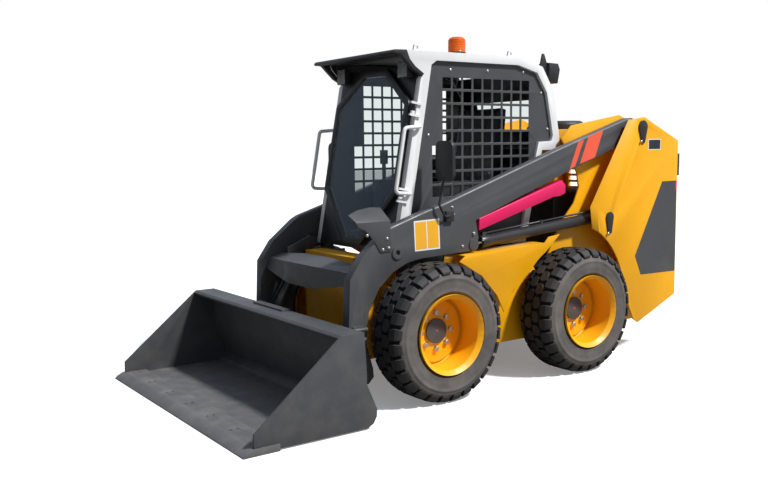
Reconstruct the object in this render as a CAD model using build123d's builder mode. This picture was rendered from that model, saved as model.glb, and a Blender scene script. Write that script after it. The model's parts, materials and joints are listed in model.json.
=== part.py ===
"""Skid steer loader: a compact wheeled loader with a lift boom and a general-purpose bucket.

Millimetres. +Z is up, +Y points to the rear and +X to the operator's left. The origin lies on
the floor, halfway between the bucket's lip and the tail, midway across the machine.
Outlines on the machine's sides are (y, z) points.
"""
from build123d import *
import math
import os

# ---- driving dimensions -------------------------------------------------------------------
# Widths, each worked out from the cab's by a named clearance
cab_half_w = 430
arm_w = 60
arm_in_x = cab_half_w + 50              # the arms swing past the cab
arm_outer_x = arm_in_x + arm_w
frame_half_w = arm_in_x + 20            # outer faces of the chain cases
tower_plate = 12
tower_inner_x = arm_in_x - tower_plate - 13
tower_outer_x = arm_outer_x + tower_plate + 48
tyre_w = 262
tyre_gap = 35                           # from the chain case to the tyre
wheel_x = frame_half_w + tyre_gap + tyre_w / 2   # centre plane of a tyre

# Running gear
tyre_r = 384
wheelbase = 1095
front_axle_y = -442.5
rear_axle_y = front_axle_y + wheelbase
axle_z = tyre_r
tyre_bore_r = 206          # seat of the tyre on its rim
tyre_shoulder = 42         # rounding of the tyre's shoulder
lug_count = 28             # tread lugs round a tyre
lug_depth = 18
lug_arc = 9.3              # degrees that each lug takes up
rim_flange_r = 222
rim_wall = 10
rim_dish_x = wheel_x - 24  # outer face of the wheel disc
rim_disc_r = 176           # flat part of the disc, inside the step to the barrel
rim_disc = 14
rim_step = rim_disc + 16   # depth of the disc behind its face, its stepped edge included
hub_cap_r = 70
hub_cap_t = 12
hub_cap_x = rim_dish_x + 16   # outer face of the hub cap
stud_circle_r = 103
stud_count = 8
spindle_r = 45
axle_tube_r = 78
axle_tube_end = rim_dish_x - rim_step - 26
running_gap = 0.3          # clearance between turning faces
pin_gap = 0.05             # radial clearance of a pin in its bore
skirt_gap = 30             # from the tread to the side skirts

# Main frame
chain_case_w = 135
frame_z0 = 205
frame_top_z = 620
frame_front_y = -610
tail_y = 1717.5
frame_rear_y = tail_y - 27.5
frame_skin = 12
front_wall_top = 770
tow_lug_w = 24
tow_bore_r = 19
footwell_y = -690
footwell_half_w = frame_half_w - chain_case_w - 15

# Towers that carry the boom
arch_gap = 152             # from the tread to the edge of the rear arch
tail_top_z = 1418
flange_w, flange_depth = 38, 24   # bevelled front flange of the outer cheeks
hinge_y, hinge_z = 1341.5, 1511
hinge_pin_r = 30
lift_base_y, lift_base_z = 1029.5, 931
lift_pin_r = 22

# Boom
arm_wall = 8
coupler_y, coupler_z = -842.5, 175     # pivot of the coupler at the arms' feet
coupler_pin_r = 25
lift_eye_y, lift_eye_z = -73.5, 829    # pin of the lift cylinder's rod
tilt_base_y, tilt_base_z = -622.5, 823  # pin of the tilt cylinder's barrel
tilt_pin_r = 20
wheel_clear = 11           # from the tread to the arm's arch

# Cylinders
lift_tube_r = 35
lift_rod_r = 18
lift_closed_head = 73      # from the rod's pin to the barrel's gland, closed
lift_stroke = 728
tilt_tube_r = 28
tilt_rod_r = 16
tilt_stroke_out = 285
tilt_stroke_in = 55
tilt_closed_head = 95        # from the rod's pin to the gland, bucket flat on the floor
tilt_x = arm_in_x - 55
cylinder_wall = 8
feed_r = 6                 # steel feed tube along the top of each barrel

# Bucket and coupler
bucket_half_w = 892         # over the cutting edge
bucket_side_in = 8          # the bucket's sides stand this far in from the edge's ends
bucket_plate = 12
bucket_lip_y = -1747.5
bucket_ground = 1          # what the cutting edge stands above the floor
edge_depth = 190
edge_top = 35
rolled_edge_r = 17
edge_bolt_r = 9
tilt_pin_reach = 180       # from the coupler's pivot to the tilt pin
tilt_pin_angle = 110.2     # direction of the tilt pin from the pivot

# Cab
cab_tube = 40
cab_in_x = cab_half_w - cab_tube
cab_sill_z = 800
cab_mounts_y = (-490, 400)   # rubber mounts between the frame and the cab's sills
cab_rake = math.degrees(math.atan(0.195))
cab_front_y, cab_front_z = -512.5, 1027   # a point on the cab's raked front
roof_z = 1935
roof_skin = 12
mesh_plate = 6
mesh_pitch = 78
mesh_bar = 15
door_thick = 28
door_hinge_x = cab_half_w - 18
glass = 6
beacon_r = 52
small_pin_r = 6            # pins of the door's and the tailgate's hinges
hinge_knuckle_r = 10
gate_hinge_x, gate_hinge_y = tower_inner_x + 57, tail_y + 17.5
gate_hinges_z = (620, 1200)
door_hinges_z = (1120, 1600)
door_hinge_out = 14         # the door's hinge axis stands this far before the raked front

LEFT, RIGHT = 1, -1
SIDES = (("left", LEFT), ("right", RIGHT))


# ---- helpers ------------------------------------------------------------------------------
def side_plate(points, x_in, x_out, side=LEFT, mode=Mode.ADD, holes=(), radius=0):
    """Adds a plate standing lengthways, its (y, z) outline cut by (y, z, r) holes."""
    with BuildSketch(Plane.YZ.offset(side * x_in)) as outline:
        with BuildLine():
            Polyline(*points, close=True)
        make_face()
        if radius:
            fillet(outline.vertices(), radius)
        for y, z, r in holes:
            with Locations((y, z)):
                Circle(r, mode=Mode.SUBTRACT)
    extrude(outline.sketch, amount=side * (x_out - x_in), mode=mode)


def cross_rod(y, z, r, x_in, x_out, side=LEFT, mode=Mode.ADD):
    """Adds a cylinder lying crossways between two x places."""
    with BuildSketch(Plane.YZ.offset(side * x_in)) as disc:
        with Locations((y, z)):
            Circle(r)
    extrude(disc.sketch, amount=side * (x_out - x_in), mode=mode)


def block(x0, x1, y0, y1, z0, z1, mode=Mode.ADD):
    """Adds a box between two corners."""
    with BuildSketch(Plane.XY.offset(z0)) as base:
        with Locations(((x0 + x1) / 2, (y0 + y1) / 2)):
            Rectangle(abs(x1 - x0), abs(y1 - y0))
    extrude(base.sketch, amount=z1 - z0, mode=mode)


def polar(y, z, r, degrees):
    """The (y, z) point at a distance and direction from another."""
    return (y + r * math.cos(math.radians(degrees)), z + r * math.sin(math.radians(degrees)))


def band(points, t, x_in, x_out, mode=Mode.ADD):
    """Adds a folded sheet of thickness t whose (y, z) path runs through points."""
    with BuildSketch(Plane.YZ.offset(x_in)) as section:
        for (y0, z0), (y1, z1) in zip(points, points[1:]):
            run = math.hypot(y1 - y0, z1 - z0)
            turn = math.degrees(math.atan2(z1 - z0, y1 - y0))
            with Locations(Location(((y0 + y1) / 2, (z0 + z1) / 2), turn)):
                Rectangle(run, t)
        for y, z in points[1:-1]:
            with Locations((y, z)):
                Circle(t / 2)
    extrude(section.sketch, amount=x_out - x_in, mode=mode)


def upright(x, y, r, z0, z1, mode=Mode.ADD):
    """Adds an upright cylinder."""
    with BuildSketch(Plane.XY.offset(z0)) as disc:
        with Locations((x, y)):
            Circle(r)
    extrude(disc.sketch, amount=z1 - z0, mode=mode)


def save(builder, label):
    """Labels a finished piece and writes its STEP file."""
    builder.part.label = label
    export_step(builder.part, f"parts/{label}.step")


os.makedirs("parts", exist_ok=True)

# ---- main frame ---------------------------------------------------------------------------
chain_in_x = frame_half_w - chain_case_w
case_outline = [
    (frame_front_y, frame_z0 + 60), (frame_front_y + 90, frame_z0), (frame_rear_y - 190, frame_z0),
    (frame_rear_y, frame_z0 + 150), (frame_rear_y, frame_top_z), (frame_front_y, frame_top_z),
]
with BuildPart() as main_frame:
    for name, side in SIDES:
        side_plate(case_outline, chain_in_x, frame_half_w, side)
    block(-chain_in_x, chain_in_x, footwell_y, frame_rear_y - 190, frame_z0,
          frame_z0 + frame_skin)
    block(-chain_in_x, chain_in_x, frame_rear_y - 40, frame_rear_y, frame_z0 + 150, frame_top_z)
save(main_frame, "main_frame")

with BuildPart() as axle_housings:
    for axle_y in (front_axle_y, rear_axle_y):
        for name, side in SIDES:
            cross_rod(axle_y, axle_z, axle_tube_r, frame_half_w, axle_tube_end, side)
            cross_rod(axle_y, axle_z, spindle_r, frame_half_w, rim_dish_x - 2, side)
save(axle_housings, "axle_housings")

with BuildPart() as cab_mounts:
    for y in cab_mounts_y:
        for name, side in SIDES:
            block(side * cab_in_x, side * cab_half_w, y - 35, y + 35, frame_top_z, cab_sill_z)
save(cab_mounts, "cab_mounts")

lug_y, lug_z = frame_rear_y + 22, frame_z0 + 90
with BuildPart() as tow_lug:
    side_plate([(frame_rear_y - 40, frame_z0 + 150), (frame_rear_y, frame_z0 + 150),
                (frame_rear_y, frame_z0 + 210), (lug_y + 28, lug_z + 30), (lug_y + 32, lug_z),
                (lug_y + 22, lug_z - 30), (lug_y - 22, lug_z - 38)], -tow_lug_w / 2, tow_lug_w / 2,
               holes=[(lug_y, lug_z, tow_bore_r)])
save(tow_lug, "tow_lug")

with BuildPart() as front_wall:
    block(-footwell_half_w, footwell_half_w, footwell_y, footwell_y + frame_skin,
          frame_z0 + frame_skin, front_wall_top)
    block(-footwell_half_w, footwell_half_w, footwell_y + frame_skin, -555,
          front_wall_top - frame_skin, front_wall_top)
    for name, side in SIDES:
        block(side * (footwell_half_w - frame_skin), side * footwell_half_w,
              footwell_y + frame_skin, -400, frame_z0 + frame_skin, front_wall_top - frame_skin)
save(front_wall, "front_wall")

engine_half_w, engine_len, engine_top = 270, 700, 1080
engine_y1 = tail_y - 157
with BuildPart() as engine_block:
    block(-engine_half_w, engine_half_w, engine_y1 - engine_len, engine_y1, frame_z0 + frame_skin,
          engine_top)
save(engine_block, "engine_block")

# ---- towers -------------------------------------------------------------------------------
arch_r = tyre_r + arch_gap
outer_cheek = [
    (hinge_y - 113, hinge_z + 48), (hinge_y + 22, hinge_z + 63), (tail_y - 8, hinge_z - 88),
    (tail_y, tail_top_z), (tail_y, 358), (tail_y - 383, 202), (tail_y - 428, 227),
    (tail_y - 482, 331), (1164, 545), (895, 842), (874, 1003),
]
inner_cheek = [
    (hinge_y - 73, hinge_z + 81), (tail_y - 30, hinge_z - 81), (tail_y, tail_top_z),
    (tail_y, frame_top_z), (560, frame_top_z), (720, 900), (842, 1025), (887, 1127), (866, 1224),
    (725, 1436), (814, 1521),
]


def flange_bevel(top, foot, side):
    """Bevels the front flange of a tower's outer cheek along one of its straight runs."""
    run = (0, foot[0] - top[0], foot[1] - top[1])
    across = Plane(origin=(side * tower_outer_x, *top), x_dir=(side, 0, 0), z_dir=run)
    with BuildSketch(across.offset(-40)) as wedge:
        with BuildLine():
            Polyline((5, side * 5), (-flange_depth, side * 5), (-flange_depth, 0),
                     (0, -side * flange_w), (5, -side * flange_w), close=True)
        make_face()
    extrude(wedge.sketch, amount=math.hypot(*run) + 80, mode=Mode.SUBTRACT)


for name, side in SIDES:
    with BuildPart() as tower:
        side_plate(outer_cheek, tower_outer_x - tower_plate, tower_outer_x, side)
        side_plate([outer_cheek[0], outer_cheek[-1], outer_cheek[-2], (955, 842), (935, 1003),
                    (hinge_y - 55, hinge_z + 48)], tower_outer_x - flange_depth,
                   tower_outer_x - tower_plate, side)
        for top, foot in ((outer_cheek[0], outer_cheek[-1]), (outer_cheek[-1], outer_cheek[-2])):
            flange_bevel(top, foot, side)
        cross_rod(rear_axle_y, axle_z, arch_r, tower_outer_x - flange_depth - 1, tower_outer_x + 1,
                  side, Mode.SUBTRACT)
        side_plate(inner_cheek, tower_inner_x, tower_inner_x + tower_plate, side)
        web_in, web_out = tower_inner_x + tower_plate, tower_outer_x - tower_plate
        block(side * web_in, side * web_out, tail_y - tower_plate, tail_y, frame_top_z, tail_top_z)
        block(side * web_in, side * web_out, frame_rear_y - 260, tail_y, frame_top_z,
              frame_top_z + tower_plate)
        cross_rod(hinge_y, hinge_z, hinge_pin_r + pin_gap, tower_inner_x - 1, tower_outer_x + 1,
                  side, Mode.SUBTRACT)
        cross_rod(lift_base_y, lift_base_z, lift_pin_r + pin_gap, tower_inner_x - 1,
                  tower_outer_x + 1, side, Mode.SUBTRACT)
    save(tower, f"tower_{name}")

pin_pairs = [  # y, z, radius, direction of the lock bolt
    (hinge_y, hinge_z, hinge_pin_r, -88), (lift_base_y, lift_base_z, lift_pin_r, -89),
]
with BuildPart() as pivot_pins:
    for name, side in SIDES:
        for y, z, r, turn in pin_pairs:
            cross_rod(y, z, r, tower_inner_x, tower_outer_x + 2, side)
            bolt_y, bolt_z = polar(y, z, 92, turn)
            with BuildSketch(Plane.YZ.offset(side * (tower_outer_x + 0.3))) as plate:
                with Locations((y, z)):
                    Circle(r + 12)
                with Locations((bolt_y, bolt_z)):
                    Circle(17)
                make_hull()
            extrude(plate.sketch, amount=side * 9)
    for z in gate_hinges_z:
        upright(gate_hinge_x, gate_hinge_y, small_pin_r, z - 25, z + 61)
        block(gate_hinge_x - 8, gate_hinge_x + 8, tail_y, gate_hinge_y, z - 25, z - 2)
save(pivot_pins, "pivot_pins")

# Side skirts between the wheels, their top edge folded in to the frame
skirt_outline = [
    (-226, 745), (-181, 776), (449, 805), (482, 839), (578, 851), (483, 771), (332, 649),
    (182, 536), (114, 416), (60, 520), (-60, 650),
]
for name, side in SIDES:
    with BuildPart() as skirt:
        side_plate(skirt_outline, tower_outer_x - 8, tower_outer_x, side)
        side_plate([(-181, 768), (-181, 776), (449, 805), (449, 797)], frame_half_w - 30,
                   tower_outer_x - 8, side)
        side_plate([(-150, frame_top_z), (-150, 769), (400, 795), (400, frame_top_z)],
                   frame_half_w - 42, frame_half_w - 30, side)
        for axle_y in (front_axle_y, rear_axle_y):
            cross_rod(axle_y, axle_z, tyre_r + skirt_gap, frame_half_w - 1, tower_outer_x + 1, side,
                      Mode.SUBTRACT)
    save(skirt, f"side_skirt_{name}")

# Hood over the engine, between the towers
hood_front_y, hood_half_w, hood_z = 790, tower_inner_x, 1500
with BuildPart() as engine_hood:
    side_plate([(hood_front_y, 1440), (hood_front_y + 60, hood_z), (1230, hood_z),
                (tail_y - 57, hood_z - 115), (tail_y - 17, hood_z - 150), (tail_y - 17, hood_z - 170),
                (tail_y - 67, hood_z - 135), (1225, hood_z - 20), (hood_front_y + 68, hood_z - 20),
                (hood_front_y + 20, 1432)], -hood_half_w, hood_half_w)
save(engine_hood, "engine_hood")

dome_y, dome_r, dome_h = 1057, 150, 60
with BuildPart() as intake_dome:
    with BuildSketch(Plane.XY.offset(hood_z)) as foot:
        with Locations((150, dome_y)):
            Circle(dome_r)
    extrude(foot.sketch, amount=dome_h)
    fillet(intake_dome.faces().sort_by(Axis.Z)[-1].edges(), dome_h * 0.6)
save(intake_dome, "intake_dome")

tail_lamp_w, tail_lamp_h = 60, 150
with BuildPart() as tail_lamps:
    for name, side in SIDES:
        block(side * (tower_outer_x - 2), side * (tower_outer_x - 2 - tail_lamp_w), tail_y,
              tail_y + 22, 1180, 1180 + tail_lamp_h)
save(tail_lamps, "tail_lamps")

gate_half_w, gate_z0, gate_z1, gate_thick = tower_inner_x + 45, 520, 1340, 30
grille_z, grille_h = 1000, 480
with BuildPart() as tailgate:
    block(-gate_half_w, gate_half_w, tail_y + 0.6, tail_y + gate_thick, gate_z0, gate_z1)
    fillet(tailgate.edges().filter_by(Axis.Y), 40)
    block(-gate_half_w + 90, gate_half_w - 90, tail_y, tail_y + gate_thick + 1,
          grille_z - grille_h / 2, grille_z + grille_h / 2, Mode.SUBTRACT)
    with BuildSketch(Plane.XZ.offset(-(tail_y + 8))) as slats:
        with Locations((0, grille_z)):
            with GridLocations(1, grille_h / 10, 1, 10):
                Rectangle(2 * gate_half_w - 180, 18)
    extrude(slats.sketch, amount=-12)
    for z in gate_hinges_z:
        upright(gate_hinge_x, gate_hinge_y, hinge_knuckle_r, z, z + 60)
        block(gate_half_w - 20, gate_hinge_x, gate_hinge_y - 6, gate_hinge_y + 6, z, z + 60)
        upright(gate_hinge_x, gate_hinge_y, small_pin_r + pin_gap, z - 1, z + 61, Mode.SUBTRACT)
save(tailgate, "tailgate")

# ---- cab ----------------------------------------------------------------------------------
rake = math.tan(math.radians(cab_rake))


def front_at(z):
    """Where the raked front of the cab stands at a height."""
    return cab_front_y + rake * (z - cab_front_z)


gusset_y = -462          # where the roof's side rails end, before the door
cab_outline = [
    (front_at(cab_sill_z), cab_sill_z), (front_at(1780), 1780), (-342, 1808), (-402, 1846),
    (-440, 1885), (gusset_y, roof_z), (391, roof_z), (589, 1883), (682, 1744), (739, 1462),
    (746, 1410), (700, 1369), (590, 1369), (520, 1100), (450, cab_sill_z),
]
cab_inner = [
    (front_at(cab_sill_z + 60) + 72, cab_sill_z + 60), (front_at(1860) + 62, 1860), (-250, 1885),
    (385, 1885), (545, 1845), (628, 1725), (684, 1462), (672, 1425), (560, 1420), (480, 1130),
    (415, cab_sill_z + 60),
]
lifting_eyes = ((-374, LEFT), (-289, RIGHT), (340, LEFT), (340, RIGHT))   # y, side
lifting_eye_r = 9
with BuildPart() as cab_frame:
    for name, side in SIDES:
        side_plate(cab_outline, cab_in_x, cab_half_w, side)
        side_plate(cab_inner, cab_in_x - 1, cab_half_w + 1, side, Mode.SUBTRACT)
    side_plate([(front_at(roof_z), roof_z), (391, roof_z), (589, 1883), (585, 1870),
                (388, roof_z - roof_skin), (front_at(roof_z), roof_z - roof_skin)], -cab_in_x, cab_in_x)
    for y, side in lifting_eyes:
        side_plate([(y - 24, roof_z - 5), (y - 24, roof_z), (y - 16, roof_z + 34),
                    (y + 16, roof_z + 34), (y + 24, roof_z), (y + 24, roof_z - 5)],
                   cab_half_w - 36, cab_half_w - 24, side, holes=[(y, roof_z + 18, lifting_eye_r)])
save(cab_frame, "cab_frame")

window = [(-345, 1085), (-196, 1800), (505, 1800), (580, 1470), (430, 1085)]
hole_y0, hole_z0 = -162, 1763          # middle of the first hole, at the window's upper front


def inside(points, y, z, margin):
    """Whether (y, z) lies inside a clockwise outline by a margin."""
    for (y0, z0), (y1, z1) in zip(points, points[1:] + points[:1]):
        run = math.hypot(y1 - y0, z1 - z0)
        if ((y1 - y0) * (z - z0) - (z1 - z0) * (y - y0)) / run > -margin:
            return False
    return True


hole = mesh_pitch - mesh_bar
hole_places = [
    (hole_y0 + mesh_pitch * i, hole_z0 - mesh_pitch * j) for i in range(-3, 10) for j in range(9)
    if inside(window, hole_y0 + mesh_pitch * i, hole_z0 - mesh_pitch * j, hole / 2)
]
for name, side in SIDES:
    with BuildPart() as mesh_panel:
        with BuildSketch(Plane.YZ.offset(side * (cab_in_x + 14))) as screen:
            with BuildLine():
                Polyline(*cab_inner, close=True)
            make_face()
            with Locations(*hole_places):
                Rectangle(hole, hole, mode=Mode.SUBTRACT)
        extrude(screen.sketch, amount=side * mesh_plate)
    save(mesh_panel, f"mesh_panel_{name}")

front_plane = Plane(origin=(0, cab_front_y, cab_front_z), x_dir=(1, 0, 0),
                    z_dir=(0, -math.cos(math.radians(cab_rake)), math.sin(math.radians(cab_rake))))
slope = 1 / math.cos(math.radians(cab_rake))


def on_front(x, z):
    """The place on the raked front plane at a width and a height."""
    return (x, (z - cab_front_z) * slope)


door_half_w = cab_half_w - 40
door_outline = [(door_half_w - 275, 1855), (door_half_w - 4, 1652), (door_half_w, 1140),
                (door_half_w - 295, 822)]
door_loop = [on_front(x, z) for x, z in door_outline]
door_loop += [on_front(-x, z) for x, z in reversed(door_outline)]
front_panel_t = 10
with BuildPart() as cab_front:
    with BuildSketch(front_plane.offset(-front_panel_t)) as face:
        with BuildLine():
            Polyline(on_front(-cab_in_x, cab_sill_z), on_front(cab_in_x, cab_sill_z),
                     on_front(cab_in_x, roof_z - 70), on_front(-cab_in_x, roof_z - 70), close=True)
        make_face()
        with BuildSketch(mode=Mode.PRIVATE) as opening:
            with BuildLine():
                Polyline(*door_loop, close=True)
            make_face()
            offset(amount=-28)
        add(opening.sketch, mode=Mode.SUBTRACT)
    extrude(face.sketch, amount=front_panel_t)
save(cab_front, "cab_front")


def hinge_plane(z):
    """A plane across the door's raked hinge axis at a height, its X to the operator's left."""
    base = front_plane.offset(door_hinge_out).from_local_coords(on_front(door_hinge_x, z))
    return Plane(origin=base, x_dir=(1, 0, 0), z_dir=front_plane.y_dir)


with BuildPart() as door_frame:
    with BuildSketch(front_plane.offset(0.6)) as ring:
        with BuildLine():
            Polyline(*door_loop, close=True)
        make_face()
        fillet(ring.vertices(), 45)
        offset(amount=-42, mode=Mode.SUBTRACT)
    extrude(ring.sketch, amount=door_thick - 0.6)
    for z in door_hinges_z:
        knuckle = hinge_plane(z)
        with BuildSketch(knuckle) as barrel_end:
            Circle(hinge_knuckle_r)
            with Locations((-29, 0)):
                Rectangle(58, 10)
            Circle(small_pin_r + pin_gap, mode=Mode.SUBTRACT)
        extrude(barrel_end.sketch, amount=50)
save(door_frame, "door_frame")

with BuildPart() as door_glass:
    with BuildSketch(front_plane.offset(door_thick - glass - 4)) as pane:
        with BuildLine():
            Polyline(*door_loop, close=True)
        make_face()
        fillet(pane.vertices(), 45)
        offset(amount=-43, mode=Mode.REPLACE)
    extrude(pane.sketch, amount=glass)
save(door_glass, "door_glass")

with BuildPart() as cab_rear:
    band([(594, 1856), (672, 1738), (727, 1462), (735, 1410)], 10, -cab_in_x, cab_in_x)
    block(-300, 300, 560, 790, 1500, 1690, Mode.SUBTRACT)
    band([(582, 1374), (513, 1105), (444, cab_sill_z)], 10, -cab_in_x, cab_in_x)
    band([(735, 1410), (700, 1376), (582, 1374)], 10, -cab_in_x, cab_in_x)
save(cab_rear, "cab_rear")

with BuildPart() as rear_glass:
    band([(682.5, 1685), (718.5, 1505)], glass, -300, 300)
save(rear_glass, "rear_glass")

with BuildPart() as cab_floor:
    floor_half_w = footwell_half_w - frame_skin
    band([(-590, 640), (-150, 640), (-110, 860), (440, 860)], 10, -floor_half_w, floor_half_w)
save(cab_floor, "cab_floor")

lamp_x, lamp_size, lamp_y, lamp_z = cab_half_w - 105, 92, -400, 1838
visor_tip_y = -552
cheek_t = 30
with BuildPart() as visor:
    side_plate([(front_at(roof_z) - 0.3, roof_z), (gusset_y + 1, roof_z), (gusset_y + 1, roof_z - 24),
                (front_at(roof_z) - 0.3, roof_z - 27)], -cab_in_x + 0.3, cab_in_x - 0.3)
    side_plate([(gusset_y - 0.3, roof_z), (visor_tip_y + 12, roof_z - 2), (visor_tip_y, roof_z - 16),
                (visor_tip_y + 8, roof_z - 24), (gusset_y - 0.3, roof_z - 24)], -cab_half_w, cab_half_w)
    side_plate([(gusset_y + 1, roof_z), (gusset_y - 0.3, roof_z), (gusset_y - 0.3, roof_z - 24),
                (gusset_y + 1, roof_z - 24)], -cab_in_x + 0.3, cab_in_x - 0.3)
    for name, side in SIDES:
        side_plate([(visor_tip_y + 20, roof_z - 20), (gusset_y - 0.4, roof_z - 2), (-440.5, 1884.5),
                    (-402.5, 1845.5), (-342.8, 1807.6), (-353, 1795), (-418, 1830), (-470, 1878),
                    (-500, roof_z - 28)], cab_half_w - cheek_t, cab_half_w, side)
        side_plate([(-330, roof_z - 26), (-420, roof_z - 22), (-420, lamp_z + 40), (-352, lamp_z + 40)],
                   lamp_x + lamp_size / 2, lamp_x + lamp_size / 2 + 8, side)
save(visor, "visor")

with BuildPart() as work_lamps:
    for name, side in SIDES:
        block(side * (lamp_x - lamp_size / 2), side * (lamp_x + lamp_size / 2), lamp_y - 20,
              lamp_y + 26, lamp_z - lamp_size / 2, lamp_z + lamp_size / 2)
    side_plate([(652, 1912), (731, 1909), (747, 1873), (728, 1785), (652, 1800)],
               cab_half_w - 100, cab_half_w - 4)
    side_plate([(590.2, 1883), (612, 1968), (628, 1968), (654, 1905), (654, 1800), (645.6, 1800)],
               cab_half_w - 36, cab_half_w - 24)
save(work_lamps, "work_lamps")

handle_r = 11
grip_x = cab_half_w + 27
hinge_bar_t = 12
with BuildPart() as handles:
    for name, side in SIDES:
        z0, z1 = 1137, 1512
        grip = [(cab_half_w, front_at(z1) + 35, z1), (grip_x, front_at(z1) + 35, z1),
                (grip_x, front_at(z1) - 84, z1 - 8), (grip_x, front_at(z0) - 78, z0 + 8),
                (grip_x, front_at(z0) + 35, z0), (cab_half_w, front_at(z0) + 35, z0)]
        with BuildLine() as path:
            FilletPolyline(*[(side * x, y, z) for x, y, z in grip], radius=24)
        with BuildSketch(Plane(origin=path.line @ 0, z_dir=path.line % 0)) as bar:
            Circle(handle_r)
        sweep(bar.sketch, path=path.line)
    for z in door_hinges_z:
        with BuildSketch(hinge_plane(z).offset(-24)) as pin:
            Circle(small_pin_r)
        extrude(pin.sketch, amount=75)
        with BuildSketch(hinge_plane(z).offset(-24)) as lug:
            Circle(hinge_knuckle_r)
            with Locations((0, door_hinge_out / 2)):
                Rectangle(2 * hinge_knuckle_r, door_hinge_out)
        extrude(lug.sketch, amount=22)
        for rise in (-34, 34):
            with BuildSketch(hinge_plane(z + rise)) as bar:
                with Locations((cab_half_w + hinge_bar_t / 2 - door_hinge_x, 4)):
                    Rectangle(hinge_bar_t, 76)
            extrude(bar.sketch, amount=hinge_bar_t)
save(handles, "handles")

with BuildPart() as beacon:
    with BuildSketch(Plane.XY.offset(roof_z)) as base:
        with Locations((cab_half_w - 180, 46)):
            Circle(beacon_r + 4)
    extrude(base.sketch, amount=24)
    with BuildSketch(Plane.XY.offset(roof_z + 24)) as lens:
        with Locations((cab_half_w - 180, 46)):
            Circle(beacon_r)
    extrude(lens.sketch, amount=92)
    fillet(beacon.faces().sort_by(Axis.Z)[-1].edges(), 26)
save(beacon, "beacon")

with BuildPart() as seat_base:
    block(-200, 200, -20, 380, 865.5, 1010)
    block(-225, 225, -60, 400, 1010, 1030)
save(seat_base, "seat_base")

with BuildPart() as seat_cushion:
    block(-240, 240, -120, 330, 1030.3, 1130)
    fillet(seat_cushion.edges(), 30)
save(seat_cushion, "seat_cushion")

with BuildPart() as seat_back:
    with BuildSketch(Plane.YZ.offset(-230)) as back:
        with BuildLine():
            Polyline((335, 1030.3), (400, 1030.3), (520, 1420), (520, 1680), (450, 1680), (330, 1200),
                     close=True)
        make_face()
        fillet(back.vertices(), 20)
    extrude(back.sketch, amount=460)
save(seat_back, "seat_back")

with BuildPart() as consoles:
    for name, side in SIDES:
        block(side * 262, side * 345, -170, 300, 865.5, 1190)
        cross_place = side * 303
        with BuildSketch(Plane.XY.offset(1190)) as stalk:
            with Locations((cross_place, -110)):
                Circle(12)
        extrude(stalk.sketch, amount=120)
        with BuildSketch(Plane.XY.offset(1290)) as knob:
            with Locations((cross_place, -110)):
                Circle(26)
        extrude(knob.sketch, amount=90)
save(consoles, "consoles")

# ---- wheels -------------------------------------------------------------------------------
half_w = tyre_w / 2
shoulder_foot = (tyre_r - tyre_shoulder, half_w - 4)
lug_edge = [(tyre_r, half_w - tyre_shoulder), shoulder_foot]
carcass_edge = [(tyre_r - lug_depth, half_w - tyre_shoulder), shoulder_foot]
sidewall = [(310, half_w), (rim_flange_r + 4, half_w - 6), (tyre_bore_r, half_w - 30)]


def both_sides(points):
    """A section's (out, across) points on the right half, and their mirror on the left."""
    return points + [(out, -across) for out, across in reversed(points)]


across_axle = Plane(origin=(0, 0, 0), x_dir=(0, 0, 1), z_dir=(0, 1, 0))
with BuildPart() as lug:
    with BuildSketch(across_axle) as lug_section:
        with BuildLine():
            Polyline(*both_sides(lug_edge), close=True)
        make_face()
    revolve(lug_section.sketch, axis=Axis.X, revolution_arc=lug_arc)
with BuildPart() as tyre_blank:
    with BuildSketch(across_axle) as rubber:
        with BuildLine():
            Polyline(*both_sides(carcass_edge + sidewall), close=True)
        make_face()
    revolve(rubber.sketch, axis=Axis.X)
    add([lug.part.rotate(Axis.X, 360 / lug_count * place) for place in range(lug_count)])
bead_slope = 24 / 20           # how far the bead seat widens for its rise
seat_r = tyre_bore_r - running_gap
well_r = tyre_bore_r - rim_wall
bead_in = 30 + running_gap
lip_in = bead_in - (rim_flange_r - seat_r) * bead_slope
disc_out = rim_dish_x - wheel_x
cap_in = hub_cap_x - wheel_x - hub_cap_t
hub_r = axle_tube_r - 10
hub_in = axle_tube_end + running_gap - wheel_x
axles = (("front", front_axle_y), ("rear", rear_axle_y))
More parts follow.
